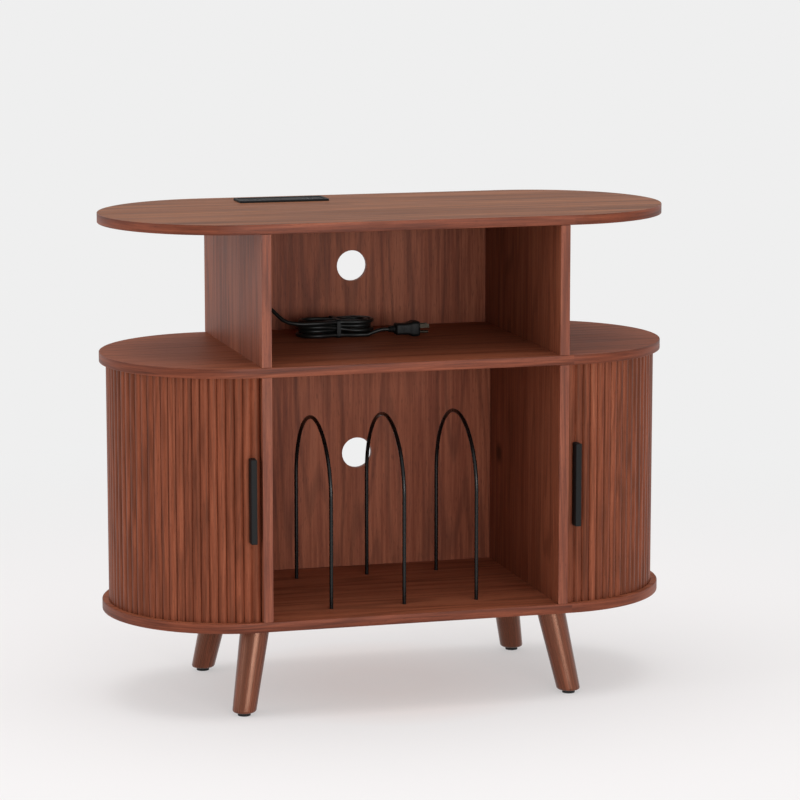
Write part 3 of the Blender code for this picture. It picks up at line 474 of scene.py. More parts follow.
# Each look has its slot, how it is made, and its values. Walnut has the grain's axis, roughness and
# gloss. Even finishes have colour, roughness, the grit's size in mm and depth in metres, and gloss.
# The canvas has the colours of its threads, their distance in mm, and roughness.
amber = "#FFC6A9"
finishes = {
    # Melamine-faced board with coarsely printed walnut: even satin, the grain runs the board's length
    "walnut_laminate_level": ("walnut_laminate", walnut, (0, 0.55, 0.08), dict(
        tone=-0.02, broad=0.12, spread=1.9, turn=0.014)),
    # The same laminate made paler on the shelf and the bottom board: painted light, because their tops
    # lie in the shade of the boards above
    "walnut_laminate_shelf": ("walnut_laminate", walnut, (0, 0.55, 0.035), dict(
        tone=0.38, broad=0.12, spread=1.7)),
    # The same laminate on upright boards, where the grain stands
    "walnut_laminate_upright": ("walnut_laminate", walnut, (2, 0.50, 0.15), dict(tone=0.18)),
    # Upright laminate with the knot that shows on the right divider's inner face
    "walnut_laminate_knotted": ("walnut_laminate", walnut, (2, 0.50, 0.15), dict(
        tone=0.14, knot={"Location": (0, -5.75, -15.3), "Scale": (0, 50, 45)})),
    # Laminate of the back panels, cut from a paler and redder stretch of the print
    "walnut_laminate_back": ("walnut_laminate", walnut, (2, 0.50, 0.15), dict(
        tone=0.18, broad=0.24, spread=1.4)),
    # Printed ABS edging: a little softer in gloss than the laminate
    "walnut_abs_edging": ("walnut_laminate", walnut, (0, 0.45, 0.18), dict(
        mapped=True, tone=-0.14, broad=0.10)),
    # The same edging made paler on the uprights' front edges: painted light for the brighter light and
    # sheen that these flat fronts catch
    "walnut_abs_edging_pale": ("walnut_laminate", walnut, (0, 0.45, 0.25), dict(
        mapped=True, tone=0.08, broad=0.10)),
    # Walnut veneer wrapped round fluted slats: open pores under a warm satin lacquer
    "walnut_slat_veneer": ("walnut_wood", walnut, (1, 0.42, 0.35), dict(
        mapped=True, tone=-0.11, broad=0.22, tint=amber)),
    # Turned solid wood, stained walnut under amber satin lacquer: a long, soft, warm highlight
    "stained_lacquered_leg": ("walnut_wood", walnut, (1, 0.27, 0.95), dict(
        mapped=True, tone=-0.40, tint=amber)),
    # Cotton duck glued behind the slats: a matt plain weave, its threads 0.8 mm apart
    "cotton_duck_backing": ("walnut_wood", woven, ("#2A1E19", "#5B463B", 0.8, 0.9), {}),
    # Powder-coated steel: matt black with a fine orange peel
    "black_powder_coat": ("black_powder_coat", speckled, ("metal", 0.55, 0.8, 0.00004, 0.2), {}),
    # Dip-enamelled steel rod: smooth black that keeps a thin bright line
    "black_enamelled_rod": ("black_powder_coat", speckled, ("metal", 0.28, 2.5, 0.00001, 0.3), {}),
    # Bright zinc plate on steel: grey, with a faint bluish bloom
    "bright_zinc_plate": ("zinc_plated_steel", speckled, ("#B4B7BA", 0.32, 1.2, 0.00001), dict(
        variation=0.08, metallic=1.0)),
    # Drawn tinned steel of the ports' shells: grey and a little dull
    "drawn_tinned_steel": ("zinc_plated_steel", speckled, ("#6E7073", 0.45, 0.8, 0.00001), dict(
        variation=0.06, metallic=1.0)),
    # Nickel-plated brass blades, stamped and tumbled, with a dull shine; their colour is painted dark,
    # as painted shade for the shadow and the dark reflections round them
    "nickel_plated_brass": ("zinc_plated_steel", speckled, ("#332F29", 0.34, 0.9, 0.00001), dict(
        variation=0.05, metallic=1.0)),
    # Injection-moulded ABS: near black, dulled by a fine spark-eroded texture
    "moulded_abs_graphite": ("charger_plastic", speckled, ("charger", 0.62, 0.5, 0.00003, 0.15), {}),
    # Glass-filled nylon tongue of a port: near black and even
    "nylon_port_tongue": ("black_plastic", speckled, ("#26282B", 0.55, 0.4, 0.00001), {}),
    # Extruded PVC jacket: smooth, with a waxy sheen
    "extruded_pvc_jacket": ("cord_jacket", speckled, ("cord", 0.38, 1.6, 0.00002, 0.3), {}),
    # Moulded PVC of the plug, its boot and the tie: duller than the jacket
    "moulded_pvc_plug": ("black_plastic", speckled, ("#101111", 0.50, 0.7, 0.00003, 0.2), {}),
    # Die-cut rubber foot pad: matt black
    "die_cut_rubber": ("black_rubber", speckled, ("#181818", 0.85, 0.6, 0.00005), {}),
}
made_finishes = {}


def finish(look):
    """A look's material, made once."""
    if look not in made_finishes:
        _, make, values, options = finishes[look]
        made_finishes[look] = make(look, *values, **options)
    return made_finishes[look]


# Shapes


def add_object(name, data):
    made = bpy.data.objects.new(name, data)
    bpy.context.scene.collection.objects.link(made)
    return made


def mesh_from(name, shape):
    """A mesh made from a bmesh, its faces turned outwards."""
    bmesh.ops.recalc_face_normals(shape, faces=shape.faces)
    mesh = bpy.data.meshes.new(name)
    shape.to_mesh(mesh)
    shape.free()
    return mesh


def settle(made, look, nodes, body="cabinet"):
    """Gives a piece its look and its body, and hides the CAD nodes that it stands for."""
    made.data.materials.append(finish(look))
    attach(made, body)
    if nodes:
        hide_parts(*nodes)
    return made


def add_piece(name, shape, look, *nodes, body="cabinet", smooth_angle=35):
    """A shown piece made from a bmesh."""
    mesh = mesh_from(name, shape)
    mesh.shade_smooth()
    mesh.set_sharp_from_angle(angle=radians(smooth_angle))
    return settle(add_object(name, mesh), look, nodes, body)


def add_tube(name, points, radius, look, *nodes, resolution=6):
    """A round tube along points, as a curve with closed ends."""
    curve = bpy.data.curves.new(name, "CURVE")
    curve.dimensions = "3D"
    curve.bevel_depth = radius
    curve.bevel_resolution = resolution
    curve.use_fill_caps = True
    spline = curve.splines.new("POLY")
    spline.points.add(len(points) - 1)
    for target, place in zip(spline.points, points):
        target.co = (*place, 1)
    spline.use_smooth = True
    return settle(add_object(name, curve), look, nodes)


def cut(target, shape):
    """Takes a bmesh out of a piece, and keeps the result as the piece's mesh."""
    tool = add_object("cutter", mesh_from("cutter", shape))
    cutter = tool.data
    modifier = target.modifiers.new("cut", "BOOLEAN")
    modifier.solver = "EXACT"
    modifier.object = tool
    result = target.evaluated_get(bpy.context.evaluated_depsgraph_get())
    old, target.data = target.data, bpy.data.meshes.new_from_object(result)
    target.modifiers.clear()
    bpy.data.objects.remove(tool)
    for mesh in (cutter, old):
        bpy.data.meshes.remove(mesh)


def repaint(node, look, bevel=0.0):
    """Gives a CAD node its material and, where it has room, slightly rounded edges."""
    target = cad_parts[node]
    target.data.materials.clear()
    target.data.materials.append(finish(look))
    if bevel:
        edges = target.modifiers.new("edges", "BEVEL")
        edges.width = bevel
        edges.segments = 2
        edges.limit_method = "ANGLE"
        edges.angle_limit = radians(bevel_angle)
    return target


def middle(node):
    """The middle of a node's box."""
    low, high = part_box(node)
    return (low + high) / 2


def quarter_turn(steps):
    """Cosine and sine at even steps of a quarter turn."""
    turns = [pi / 2 * i / steps for i in range(steps + 1)]
    return [(cos(turn), sin(turn)) for turn in turns]


def grain_shape():
    """A bmesh with room for a grain map."""
    shape = bmesh.new()
    shape.loops.layers.uv.new("grain")
    return shape


def add_box(shape, low, high):
    low, high = Vector(low), Vector(high)
    scale = Matrix.Diagonal((*(high - low), 1))
    bmesh.ops.create_cube(shape, size=1, matrix=Matrix.Translation((low + high) / 2) @ scale)
    return shape


def add_slab(shape, x, y, half, low, high):
    """A box round a place, from one height to another."""
    return add_box(shape, (x - half[0], y - half[1], low), (x + half[0], y + half[1], high))


def add_prism(shape, outline, low, high):
    """A solid on a flat outline, from one height to another."""
    floor = shape.faces.new([shape.verts.new((x, y, low)) for x, y in outline])
    grown = bmesh.ops.extrude_face_region(shape, geom=[floor], use_keep_orig=True)
    lifted = [item for item in grown["geom"] if isinstance(item, bmesh.types.BMVert)]
    bmesh.ops.translate(shape, verts=lifted, vec=(0, 0, high - low))
    return shape


def corner_rows(shape, rings):
    return [[shape.verts.new(point) for point in ring] for ring in rings]


def join_rows(shape, rows, across=None, along=None, closed=True):
    """Joins rows by four-cornered faces, mapped by the distances across and along them."""
    grain = shape.loops.layers.uv.verify() if across else None
    for i, (lower, upper) in enumerate(zip(rows, rows[1:])):
        for j in range(len(lower) if closed else len(lower) - 1):
            k = (j + 1) % len(lower)
            face = shape.faces.new((lower[j], lower[k], upper[k], upper[j]))
            if grain:
                for loop, (u, v) in zip(face.loops, ((j, i), (j + 1, i), (j + 1, i + 1), (j, i + 1))):
                    loop[grain].uv = (across[u], along[v])


def lengths_round(ring, start=0.0):
    """The distances round a ring of corners, up to its first corner again."""
    lengths = [start]
    for corner, following in zip(ring, ring[1:] + ring[:1]):
        lengths.append(lengths[-1] + (following.co - corner.co).length)
    return lengths


def add_loft(shape, rings, girth_start=None):
    """A closed solid through rings; with a girth start it gets a map round and along it."""
    rows = corner_rows(shape, rings)
    across, along = None, [0.0]
    if girth_start is not None:
        across = lengths_round(rows[-1], girth_start)
        for lower, upper in zip(rows, rows[1:]):
            along.append(along[-1] + (upper[0].co - lower[0].co).length)
    join_rows(shape, rows, across, along)
    shape.faces.new(reversed(rows[0]))
    shape.faces.new(rows[-1])
    return shape


def add_closed_band(shape, rings):
    """A frame-like solid through rings, the last one joined to the first."""
    rows = corner_rows(shape, rings)
    join_rows(shape, [*rows, rows[0]])
    return shape


def add_turned(shape, profile, place, axis, steps=turned_steps):
    """A solid turned round an axis, from its (distance along, radius) pairs."""
    axis = Vector(axis)
    across = axis.orthogonal().normalized()
    up = axis.cross(across)
    rings = []
    for along, radius in profile:
        centre = Vector(place) + axis * along
        turns = [tau * (i + 0.5) / steps for i in range(steps)]
        rings.append([centre + radius * (across * cos(t) + up * sin(t)) for t in turns])
    return add_loft(shape, rings)


def arc(centre, radius, start, end, steps):
    """Points on an arc round a place, its angles in degrees from +X."""
    turns = [radians(start + (end - start) * i / steps) for i in range(steps + 1)]
    return [(centre[0] + radius * cos(t), centre[1] + radius * sin(t)) for t in turns]


def stadium(inset):
    """The outline of a board, taken in by a distance all round."""
    steps, radius = settings().sizes.round_steps, end_radius - inset
    right = arc((end_centre_x, centre_y), radius, -90, 90, steps)
    return right + arc((-end_centre_x, centre_y), radius, 90, 270, steps)


def rounded_rectangle(half_x, half_y, radius, steps=corner_steps):
    """The outline of a rectangle round the origin, with round corners."""
    points = []
    for corner in range(4):
        x, y = (half_x, half_y) if corner % 2 == 0 else (half_y, half_x)
        for cosine, sine in quarter_turn(steps):
            across, up = x - radius + radius * cosine, y - radius + radius * sine
            for _ in range(corner):
                across, up = -up, across
            points.append((across, up))
    return points


def on_door(side, angle, along, out):
    """A place at a door's angle: out from its axis, and along its path from there."""
    turn = radians(angle)
    x = out * sin(turn) + along * cos(turn)
    y = along * sin(turn) - out * cos(turn)
    return side * (end_centre_x + x), centre_y + y


# Boards


def make_board(name, low, high, node, look):
    """A board with half-round ends: its laminated core, and the edging round it."""
    sizes = settings().sizes
    strip, radius = sizes.edging_thickness, sizes.edging_radius
    core = add_prism(bmesh.new(), stadium(strip), low.z, high.z)
    core = add_piece(f"{name}_core", core, look, node)
    section = [(strip, low.z)]
    for cosine, sine in quarter_turn(edging_steps):
        section.append((radius - radius * sine, low.z + radius - radius * cosine))
    section += [(inset, low.z + high.z - z) for inset, z in reversed(section)]
    band = grain_shape()
    rows = corner_rows(band, [[(x, y, z) for x, y in stadium(inset)] for inset, z in section])
    join_rows(band, rows, lengths_round(rows[len(rows) // 2]), [z for _, z in section])
    add_piece(f"{name}_edging", band, "walnut_abs_edging")
    return core


def add_grooves(shape, low, high):
    """The doors' grooves round both ends."""
    start, end = groove_angles
    angles = [start + (end - start) * i / groove_steps for i in range(groove_steps + 1)]
    for side in side_names:
        outer = [on_door(side, angle, 0, groove_radii[1]) for angle in angles]
        inner = [on_door(side, angle, 0, groove_radii[0]) for angle in reversed(angles)]
        add_prism(shape, outer + inner, low, high)
    return shape


def base_screws():
    """Each base screw's node and the middle of its head, from the frame."""
    for side in side_names.values():
        for row in row_names.values():
            node = f"base_screw_{row}_{side}"
            low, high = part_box(node)
            yield node, Vector(((low.x + high.x) / 2, (low.y + high.y) / 2, low.z))


class MakeBoards(Operator):
    """Make the top, the shelf and the bottom board with their edging and cut-outs"""

    bl_idname = "record_stand.make_boards"
    bl_label = "Boards"

    def execute(self, context):
        # Shelf and bottom board get the paler laminate: painted light for their shaded tops
        painted_light_look = "walnut_laminate_shelf"
        top = make_board("top_board", top_low, top_high, "top_panel", "walnut_laminate_level")
        shelf = make_board("shelf_board", shelf_low, shelf_high, "middle_shelf", painted_light_look)
        base = make_board("bottom_board", base_low, base_high, "bottom_panel", painted_light_look)
        room = Vector((peg_clearance, peg_clearance))
        opening = ((*(housing_low.xy - room), top_low.z - overrun),
                   (*(housing_high.xy + room), top_high.z + overrun))
        cut(top, add_box(bmesh.new(), *opening))
        cut(shelf, add_grooves(bmesh.new(), shelf_low.z - overrun, shelf_low.z + groove_depth))
        hollows = add_grooves(bmesh.new(), base_high.z - groove_depth, base_high.z + overrun)
        self.add_peg_holes(hollows)
        self.add_screw_holes(hollows)
        cut(base, hollows)
        return {"FINISHED"}

    def add_peg_holes(self, shape):
        for name in ("left", "middle", "right"):
            low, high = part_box(f"record_wire_{name}")
            for y in (low.y + wire_radius, high.y - wire_radius):
                radius = wire_radius + peg_clearance
                hole = ((0, radius), (base_high.z - low.z + overrun, radius))
                add_turned(shape, hole, ((low.x + high.x) / 2, y, low.z), (0, 0, 1))

    def add_screw_holes(self, shape):
        head, shank, height, _ = base_screw_sizes
        wide, narrow = head * head_room_share, shank * shank_room_share
        sink = ((-overrun, wide), (0, wide), (height, narrow), (height + overrun, narrow))
        for _, place in base_screws():
            add_turned(shape, sink, place, (0, 0, 1))


# Uprights, back panels and liners


def make_upright(node, look):
    """An upright board: its core set back from the front by the edging, and the edging strip."""
    sizes = settings().sizes
    low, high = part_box(node)
    strip = sizes.edging_thickness
    core = add_box(bmesh.new(), (low.x, low.y + strip, low.z), high)
    add_piece(f"{node}_core", core, look, node)
    edging = add_box(grain_shape(), low, (high.x, low.y + strip, high.z))
    front = [e for e in edging.edges if all(v.co.y == low.y for v in e.verts)]
    upright = [e for e in front if abs(e.verts[0].co.z - e.verts[1].co.z) > strip]
    bmesh.ops.bevel(edging, geom=upright, offset=sizes.edging_radius, segments=3, profile=0.5,
                    affect="EDGES")
    grain = edging.loops.layers.uv.verify()
    for face in edging.faces:
        for loop in face.loops:
            place = loop.vert.co
            loop[grain].uv = (place.z + high.x, place.x + place.y)
    # The uprights' edging is the paler copy: painted light on their flat front edges
    add_piece(f"{node}_edging", edging, "walnut_abs_edging_pale")


class MakeUprights(Operator):
    """Make the uprights, and finish the back panels and the liners of the end compartments"""

    bl_idname = "record_stand.make_uprights"
    bl_label = "Uprights and backs"

    def execute(self, context):
        plain = "walnut_laminate_upright"
        divider_looks = {"left": plain, "right": "walnut_laminate_knotted"}
        for side, divider_look in divider_looks.items():
            make_upright(f"upper_side_{side}", plain)
            make_upright(f"lower_divider_{side}", divider_look)
            repaint(f"end_liner_{side}", plain, board_bevel)
        for level in ("upper", "lower"):
            repaint(f"{level}_back_panel", "walnut_laminate_back", board_bevel)
        return {"FINISHED"}


# Legs


class MakeLegs(Operator):
    """Make the splayed legs, and finish their pads and bolts"""

    bl_idname = "record_stand.make_legs"
    bl_label = "Legs"

    def execute(self, context):
        first, side_step, row_step = leg_grain_places
        for side, column in side_names.items():
            for row, name in row_names.items():
                corner = f"{name}_{column}"
                low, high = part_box(f"leg_{corner}")
                foot, head = middle(f"foot_pad_{corner}"), middle(f"hanger_bolt_{corner}")
                rings = self.rings_between(low.z, high.z, foot, head)
                shape = add_loft(grain_shape(), rings, first + side_step * side + row_step * row)
                add_piece(f"turned_leg_{corner}", shape, "stained_lacquered_leg", f"leg_{corner}")
                repaint(f"foot_pad_{corner}", "die_cut_rubber", pad_bevel)
                repaint(f"hanger_bolt_{corner}", "bright_zinc_plate")
        return {"FINISHED"}

    def rings_between(self, low, high, foot, head):
        """Level rings of a leg that leans from its pad to its bolt, round at its lower rim."""
        profile = []
        for cosine, sine in quarter_turn(leg_rings):
            profile.append((low + leg_rim * (1 - cosine), leg_foot_radius - leg_rim * (1 - sine)))
        for i in range(1, leg_rings + 1):
            share = i / leg_rings
            radius = leg_foot_radius + (leg_top_radius - leg_foot_radius) * share
            profile.append((low + leg_rim + (high - low - leg_rim) * share, radius))
        turns = [tau * i / leg_steps for i in range(leg_steps)]
        rings = []
        for z, radius in profile:
            x, y = foot.xy + (head - foot).xy * ((z - low) / (high - low))
            rings.append([(x + radius * cos(t), y + radius * sin(t), z) for t in turns])
        return rings


# Record rack


class MakeRack(Operator):
    """Make the three bent wires of the record rack"""

    bl_idname = "record_stand.make_rack"
    bl_label = "Record rack"

    def execute(self, context):
        for name in ("left", "middle", "right"):
            node = f"record_wire_{name}"
            low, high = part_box(node)
            x, y = middle(node).xy
            reach = y - low.y - wire_radius
            spring = high.z - wire_radius - reach
            points = [(x, y - reach, low.z)]
            for i in range(arch_steps + 1):
                turn = pi * i / arch_steps
                points.append((x, y - reach * cos(turn), spring + reach * sin(turn)))
            points.append((x, y + reach, low.z))
            add_tube(f"rack_wire_{name}", points, wire_radius, "black_enamelled_rod", node)
        return {"FINISHED"}


# Tambour doors


def half_width(angle, distance):
    return distance * tan(radians(angle) / 2)


def flute_points(side, angle, pitch, edge_gap, steps=14):
    """The half-round face of a slat, with (place, distance across it) pairs."""
    rise = settings().sizes.flute_rise
    reach = half_width(pitch, slat_centre_distance - rise) - edge_gap
    radius = (reach**2 + rise**2) / (2 * rise)
    half = asin(reach / radius)
    points = []
    for i in range(steps + 1):
        turn = half * (2 * i / steps - 1)
        out = slat_centre_distance - radius + radius * cos(turn)
        place = on_door(side, angle, radius * sin(turn), out)
        points.append((place, radius * (turn + half)))
    return points


def add_slat(shape, outline, low, high, start):
    """An upright slat on an outline of (place, distance across) pairs, mapped along its height."""
    rows = corner_rows(shape, [[(*place, z) for place, _ in outline] for z in (low, high)])
    across = [start + distance for _, distance in outline]
    join_rows(shape, rows, [*across, across[0]], (low, high))
    grain = shape.loops.layers.uv.verify()
    for ring in (rows[0][::-1], rows[1]):
        for loop in shape.faces.new(ring).loops:
            loop[grain].uv = (start, loop.vert.co.z + loop.vert.co.x)


def make_slats(side, low, high):
    """The single slats of one door, each with its own stretch of grain."""
    name, gap = side_names[side], settings().sizes.slat_gap
    first = door_lead_angle + lead_flute_angle
    back = half_width(slat_pitch_angle, slat_back_distance) - gap / 2
    shape = grain_shape()
    for i in range(slat_count):
        angle = first + slat_pitch_angle * (i + 1.5)
        outline = [(on_door(side, angle, -back, slat_back_distance), 0.0)]
        outline += flute_points(side, angle, slat_pitch_angle, gap / 2)
        outline.append((on_door(side, angle, back, slat_back_distance), slat_side_start))
        add_slat(shape, outline, low, high, slat_grain_step * (i + 1) + door_grain_step * side)
    return add_piece(f"door_slats_{name}", shape, "walnut_slat_veneer", f"door_curtain_{name}",
                     body=f"door_{name}")


def make_stile(side, low, high):
    """The double lead slat that carries the handle."""
    name, gap = side_names[side], settings().sizes.slat_gap
    groove = door_lead_angle + lead_flute_angle
    last = groove + slat_pitch_angle
    outline = [(on_door(side, door_lead_angle, 0, slat_back_distance), 0.0)]
    outline += flute_points(side, (door_lead_angle + groove) / 2, lead_flute_angle, 0)
    second = flute_points(side, (groove + last) / 2, slat_pitch_angle, gap / 2)[1:]
    outline += [(place, across + second_start) for place, across in second]
    outline.append((on_door(side, last, -gap / 2, slat_back_distance), stile_side_start))
    outline.append((on_door(side, groove, 0, slat_back_distance), stile_back_start))
    shape = grain_shape()
    add_slat(shape, outline, low, high, door_grain_step * side)
    add_piece(f"door_lead_slat_{name}", shape, "walnut_slat_veneer", f"door_stile_{name}",
              body=f"door_{name}")


def make_canvas(side, low, high):
    """The cotton backing that the slats are glued to."""
    name = side_names[side]
    distance = slat_back_distance - canvas_thickness / 2
    start = door_lead_angle + curtain_edge_angle
    end = door_lead_angle + lead_flute_angle + slat_pitch_angle * (slat_count + 1)
    steps = slat_count * canvas_steps_per_slat
    places = [on_door(side, start + (end - start) * i / steps, 0, distance) for i in range(steps + 1)]
    width = radians(end - start) * distance
    shape = grain_shape()
    rows = corner_rows(shape, [[(*place, z) for place in places] for z in (low, high)])
    join_rows(shape, rows, [width * i / steps for i in range(steps + 1)], (low, high), closed=False)
    canvas = add_piece(f"door_canvas_{name}", shape, "cotton_duck_backing", body=f"door_{name}")
    thick = canvas.modifiers.new("thickness", "SOLIDIFY")
    thick.thickness = canvas_thickness
    thick.offset = 0


class MakeDoors(Operator):
    """Make the tambour doors: slats, lead slat, canvas, and the finish of batten and handle"""

    bl_idname = "record_stand.make_doors"
    bl_label = "Tambour doors"

    def execute(self, context):
        for side, name in side_names.items():
            low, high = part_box(f"door_curtain_{name}")
            slats = make_slats(side, low.z, high.z)
            make_stile(side, low.z, high.z)
            make_canvas(side, low.z, high.z)
            repaint(f"door_batten_{name}", "walnut_laminate_upright", board_bevel)
            repaint(f"door_handle_{name}", "black_powder_coat")
        return {"FINISHED"}


# Screws


def make_screw(node, place, axis, sizes, body):
    """A countersunk screw with a cross recess in its head."""
    head, shank, height, length = sizes
    place, axis = Vector(place), Vector(axis)
    profile = (
        (0, head * screw_face_share), (screw_rim_height, head), (height, shank),
        (length * screw_taper_share, shank), (length, shank * screw_tip_share),
    )
    shape = add_turned(bmesh.new(), profile, place, axis)
    screw = add_piece(f"{node}_cross", shape, "bright_zinc_plate", node, body=body)
    across = axis.orthogonal().normalized()
    for first in (across, axis.cross(across)):
        second = axis.cross(first)
        rings = []
        for along, taper in ((-cross_overrun, 1.0), (height * cross_depth_share, cross_taper_share)):
            ring = []
            for u, v in ((-1, -1), (1, -1), (1, 1), (-1, 1)):
                reach = first * (u * head * cross_reach_share * taper)
                reach += second * (v * head * cross_width_share)
                ring.append(place + axis * along + reach)
            rings.append(ring)
        cut(screw, add_loft(bmesh.new(), rings))


class MakeScrews(Operator):
    """Make the screws under the bottom board and behind the door handles"""

    bl_idname = "record_stand.make_screws"
    bl_label = "Screws"

    def execute(self, context):
        for node, place in base_screws():
            make_screw(node, place, (0, 0, 1), base_screw_sizes, "cabinet")
        for side, name in side_names.items():
            turn = radians(door_lead_angle + lead_flute_angle)
            out = Vector((side * sin(turn), -cos(turn), 0))
            for word in ("low", "high"):
                node = f"handle_screw_{word}_{name}"
                axle = Vector((side * end_centre_x, centre_y, middle(node).z))
                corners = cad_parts[node].data.vertices
                nearest = min((corner.co - axle).dot(out) for corner in corners)
                make_screw(node, axle + out * nearest, out, handle_screw_sizes, f"door_{name}")
        return {"FINISHED"}


# Charging unit


def make_bezel():
    """The rounded frame of the charging unit."""
    centre = middle("charger_bezel")
    half = bezel_high - centre
    inner = bezel_edge / 2
    profile = [(0.0, bezel_low.z)]
    for cosine, sine in quarter_turn(bezel_steps[0]):
        profile.append((bezel_edge * (1 - cosine), bezel_high.z - bezel_edge * (1 - sine)))
    for cosine, sine in quarter_turn(bezel_steps[1]):
        profile.append((bezel_rim - inner * (1 - sine), bezel_high.z - inner * (1 - cosine)))
    profile.append((bezel_rim, bezel_low.z))
    rings = []
    for inset, z in profile:
        radius = max(settings().sizes.bezel_corner - inset, face_corner)
        loop = rounded_rectangle(half.x - inset, half.y - inset, radius)
        rings.append([(centre.x + x, centre.y + y, z) for x, y in loop])
    shape = add_closed_band(bmesh.new(), rings)
    add_piece("charger_frame", shape, "moulded_abs_graphite", "charger_bezel")


def add_outlet(shape, x, y, top):
    """The openings of a generic outlet: two blade slots and an earth hole flat on one side."""
    for row in row_names:
        slot_y = y + row * blade_row_offset
        add_slab(shape, x, slot_y, blade_slot_half, top - outlet_depth, top + overrun)
    earth = arc((x + earth_offset, y), earth_radius, -earth_half_angle, earth_half_angle, earth_steps)
    add_prism(shape, earth, top - outlet_depth, top + overrun)


def make_face():
    """The face of the charging unit, with two outlets in low round-cornered lands and two ports."""
    centre = middle("socket_face")
    half = face_high - centre
    top = face_high.z
    loop = rounded_rectangle(*half.xy, face_corner, steps=3)
    outline = [(centre.x + x, centre.y + y) for x, y in loop]
    shape = add_prism(bmesh.new(), outline, face_low.z, top)
    face = add_piece("outlet_face", shape, "moulded_abs_graphite", "socket_face")
    width = bezel_high.x - bezel_low.x
    outlets = [bezel_low.x + width * (0.5 + share) for share in outlet_shares]
    room = Vector((port_room, port_room, port_room))
    holes = bmesh.new()
    for x in outlets:
        add_outlet(holes, x, centre.y, top)
    cut(face, add_box(holes, usb_low - room, (*(usb_high + room).xy, top + overrun)))
    outer, inner = (
        rounded_rectangle(reach, reach - land_narrowing, land_corner) for reach in land_reaches
    )
    sunk, above = top - land_depth, top + overrun
    grooves = bmesh.new()
    for x in outlets:
        rings = []
        for loop, z in ((outer, sunk), (inner, sunk), (inner, above), (outer, above)):
            rings.append([(x + land_offset + u, centre.y + v, z) for u, v in loop])
        add_closed_band(grooves, rings)
    cut(face, grooves)


def make_ports():
    """The two ports: a folded shell with a tongue in each opening."""
    centre = middle("usb_shell")
    floor = usb_low.z + port_floor
    places = {name: centre.x + side * port_offset for side, name in side_names.items()}
    shell = add_box(bmesh.new(), usb_low, usb_high)
    shell = add_piece("port_shell", shell, "drawn_tinned_steel", "usb_shell")
    hollow = bmesh.new()
    for x in places.values():
        add_slab(hollow, x, centre.y, port_half, floor, usb_high.z + overrun)
    cut(shell, hollow)
    plate_half = [half - plate_gap for half in port_half]
    for name, x in places.items():
        low = (x + tongue_reach[0], centre.y - tongue_half_y, floor)
        high = (x + tongue_reach[1], centre.y + tongue_half_y, usb_high.z - port_floor)
        tongue = add_box(bmesh.new(), low, high)
        edges = tongue.edges[:]
        bmesh.ops.bevel(tongue, geom=edges, offset=tongue_bevel, segments=2, affect="EDGES")
        add_slab(tongue, x, centre.y, plate_half, floor, floor + plate_thickness)
        add_piece(f"port_tongue_{name}", tongue, "nylon_port_tongue")


class MakeCharger(Operator):
    """Make the charging unit: frame, face, ports, and the finish of housing and clamps"""

    bl_idname = "record_stand.make_charger"
    bl_label = "Charging unit"

    def execute(self, context):
        make_bezel()
        make_face()
        make_ports()
        repaint("charger_housing", "moulded_abs_graphite")
        for row in row_names.values():
            repaint(f"charger_clamp_{row}", "bright_zinc_plate", clamp_bevel)
        return {"FINISHED"}


# Cord and plug


def smooth_route(start, start_way, route, end, end_way):
    """Points on a smooth curve through a route, straight for one diameter at each end."""
    points = [start + start_way * cord_diameter]
    points += [Vector(place) + Vector((0, centre_y, 0)) for place in route]
    points.append(end - end_way * cord_diameter)
    before = points[1] - start_way * (points[1] - points[0]).length * 2
    after = points[-2] + end_way * (points[-1] - points[-2]).length * 2
    points = [before, *points, after]
    fine = [start]
    for p, q, r, s in zip(points, points[1:], points[2:], points[3:]):
        for t in np.arange(route_points) / route_points:
            bend = (2 * p - 5 * q + 4 * r - s) * t**2 + (3 * q - p - 3 * r + s) * t**3
            fine.append(q + ((r - p) * t + bend) / 2)
    return [*fine, points[-2], end]


def hank_place(turns):
    """A place on the hank's centreline after so many turns."""
    fold = hank_fold + hank_pitch * np.interp(turns, hank_knot_turns, hank_knot_pitches)
    back, part = divmod(turns * 2, 1)
    side = -1 if back % 2 else 1
    if part < 1 / 2:
        x = hank_half_run * (4 * part - 1)
        y = hank_draw * cos(pi / 2 * x / hank_half_run) ** 2 - fold
    else:
        turn = tau * (part - 3 / 4)
        x, y = hank_half_run + fold * cos(turn), fold * sin(turn)
    layer = 0.0
    for start in hank_climb_turns:
        share = min(max((start + 1 / 4 - turns) * 4, 0), 1)
        layer += share * share * (3 - 2 * share)
    z = hank_low_z + cord_diameter * hank_layer * layer
    x, y = side * x * cord_diameter, side * y * cord_diameter
    return Vector((hank_centre[0] + x, hank_centre[1] + centre_y + y, z))


def cord_points():
    """The whole centreline: down from the relief, round the hank, and on to the plug's boot."""
    right, down = Vector((1, 0, 0)), Vector((0, 0, -1))
    count = round(hank_knot_turns[-1] * hank_turn_points)
    hank = [hank_place(i / hank_turn_points) for i in range(count + 1)]
    start = Vector((*middle("strain_relief").xy, relief_low.z - cord_gap))
    end = Vector((boot_low.x - cord_gap, *middle("plug_boot").yz))
    lead = smooth_route(start, down, lead_route, hank[0] - right * cord_diameter, right)
    tail = smooth_route(hank[-1] + right * cord_diameter, right, tail_route, end, right)
    return [*lead, *hank, *tail]


def ribbed_profile(start, end, root, tip, ribs, dip, rib_points):
    """(Distance along, radius) pairs of a taper with rounded grooves between its ribs."""
    profile = []
    for i in range(ribs * rib_points + 1):
        share = i / (ribs * rib_points)
        groove = dip * (0.5 - 0.5 * cos(tau * share * ribs))
        profile.append((start + (end - start) * share, root + (tip - root) * share - groove))
    return profile


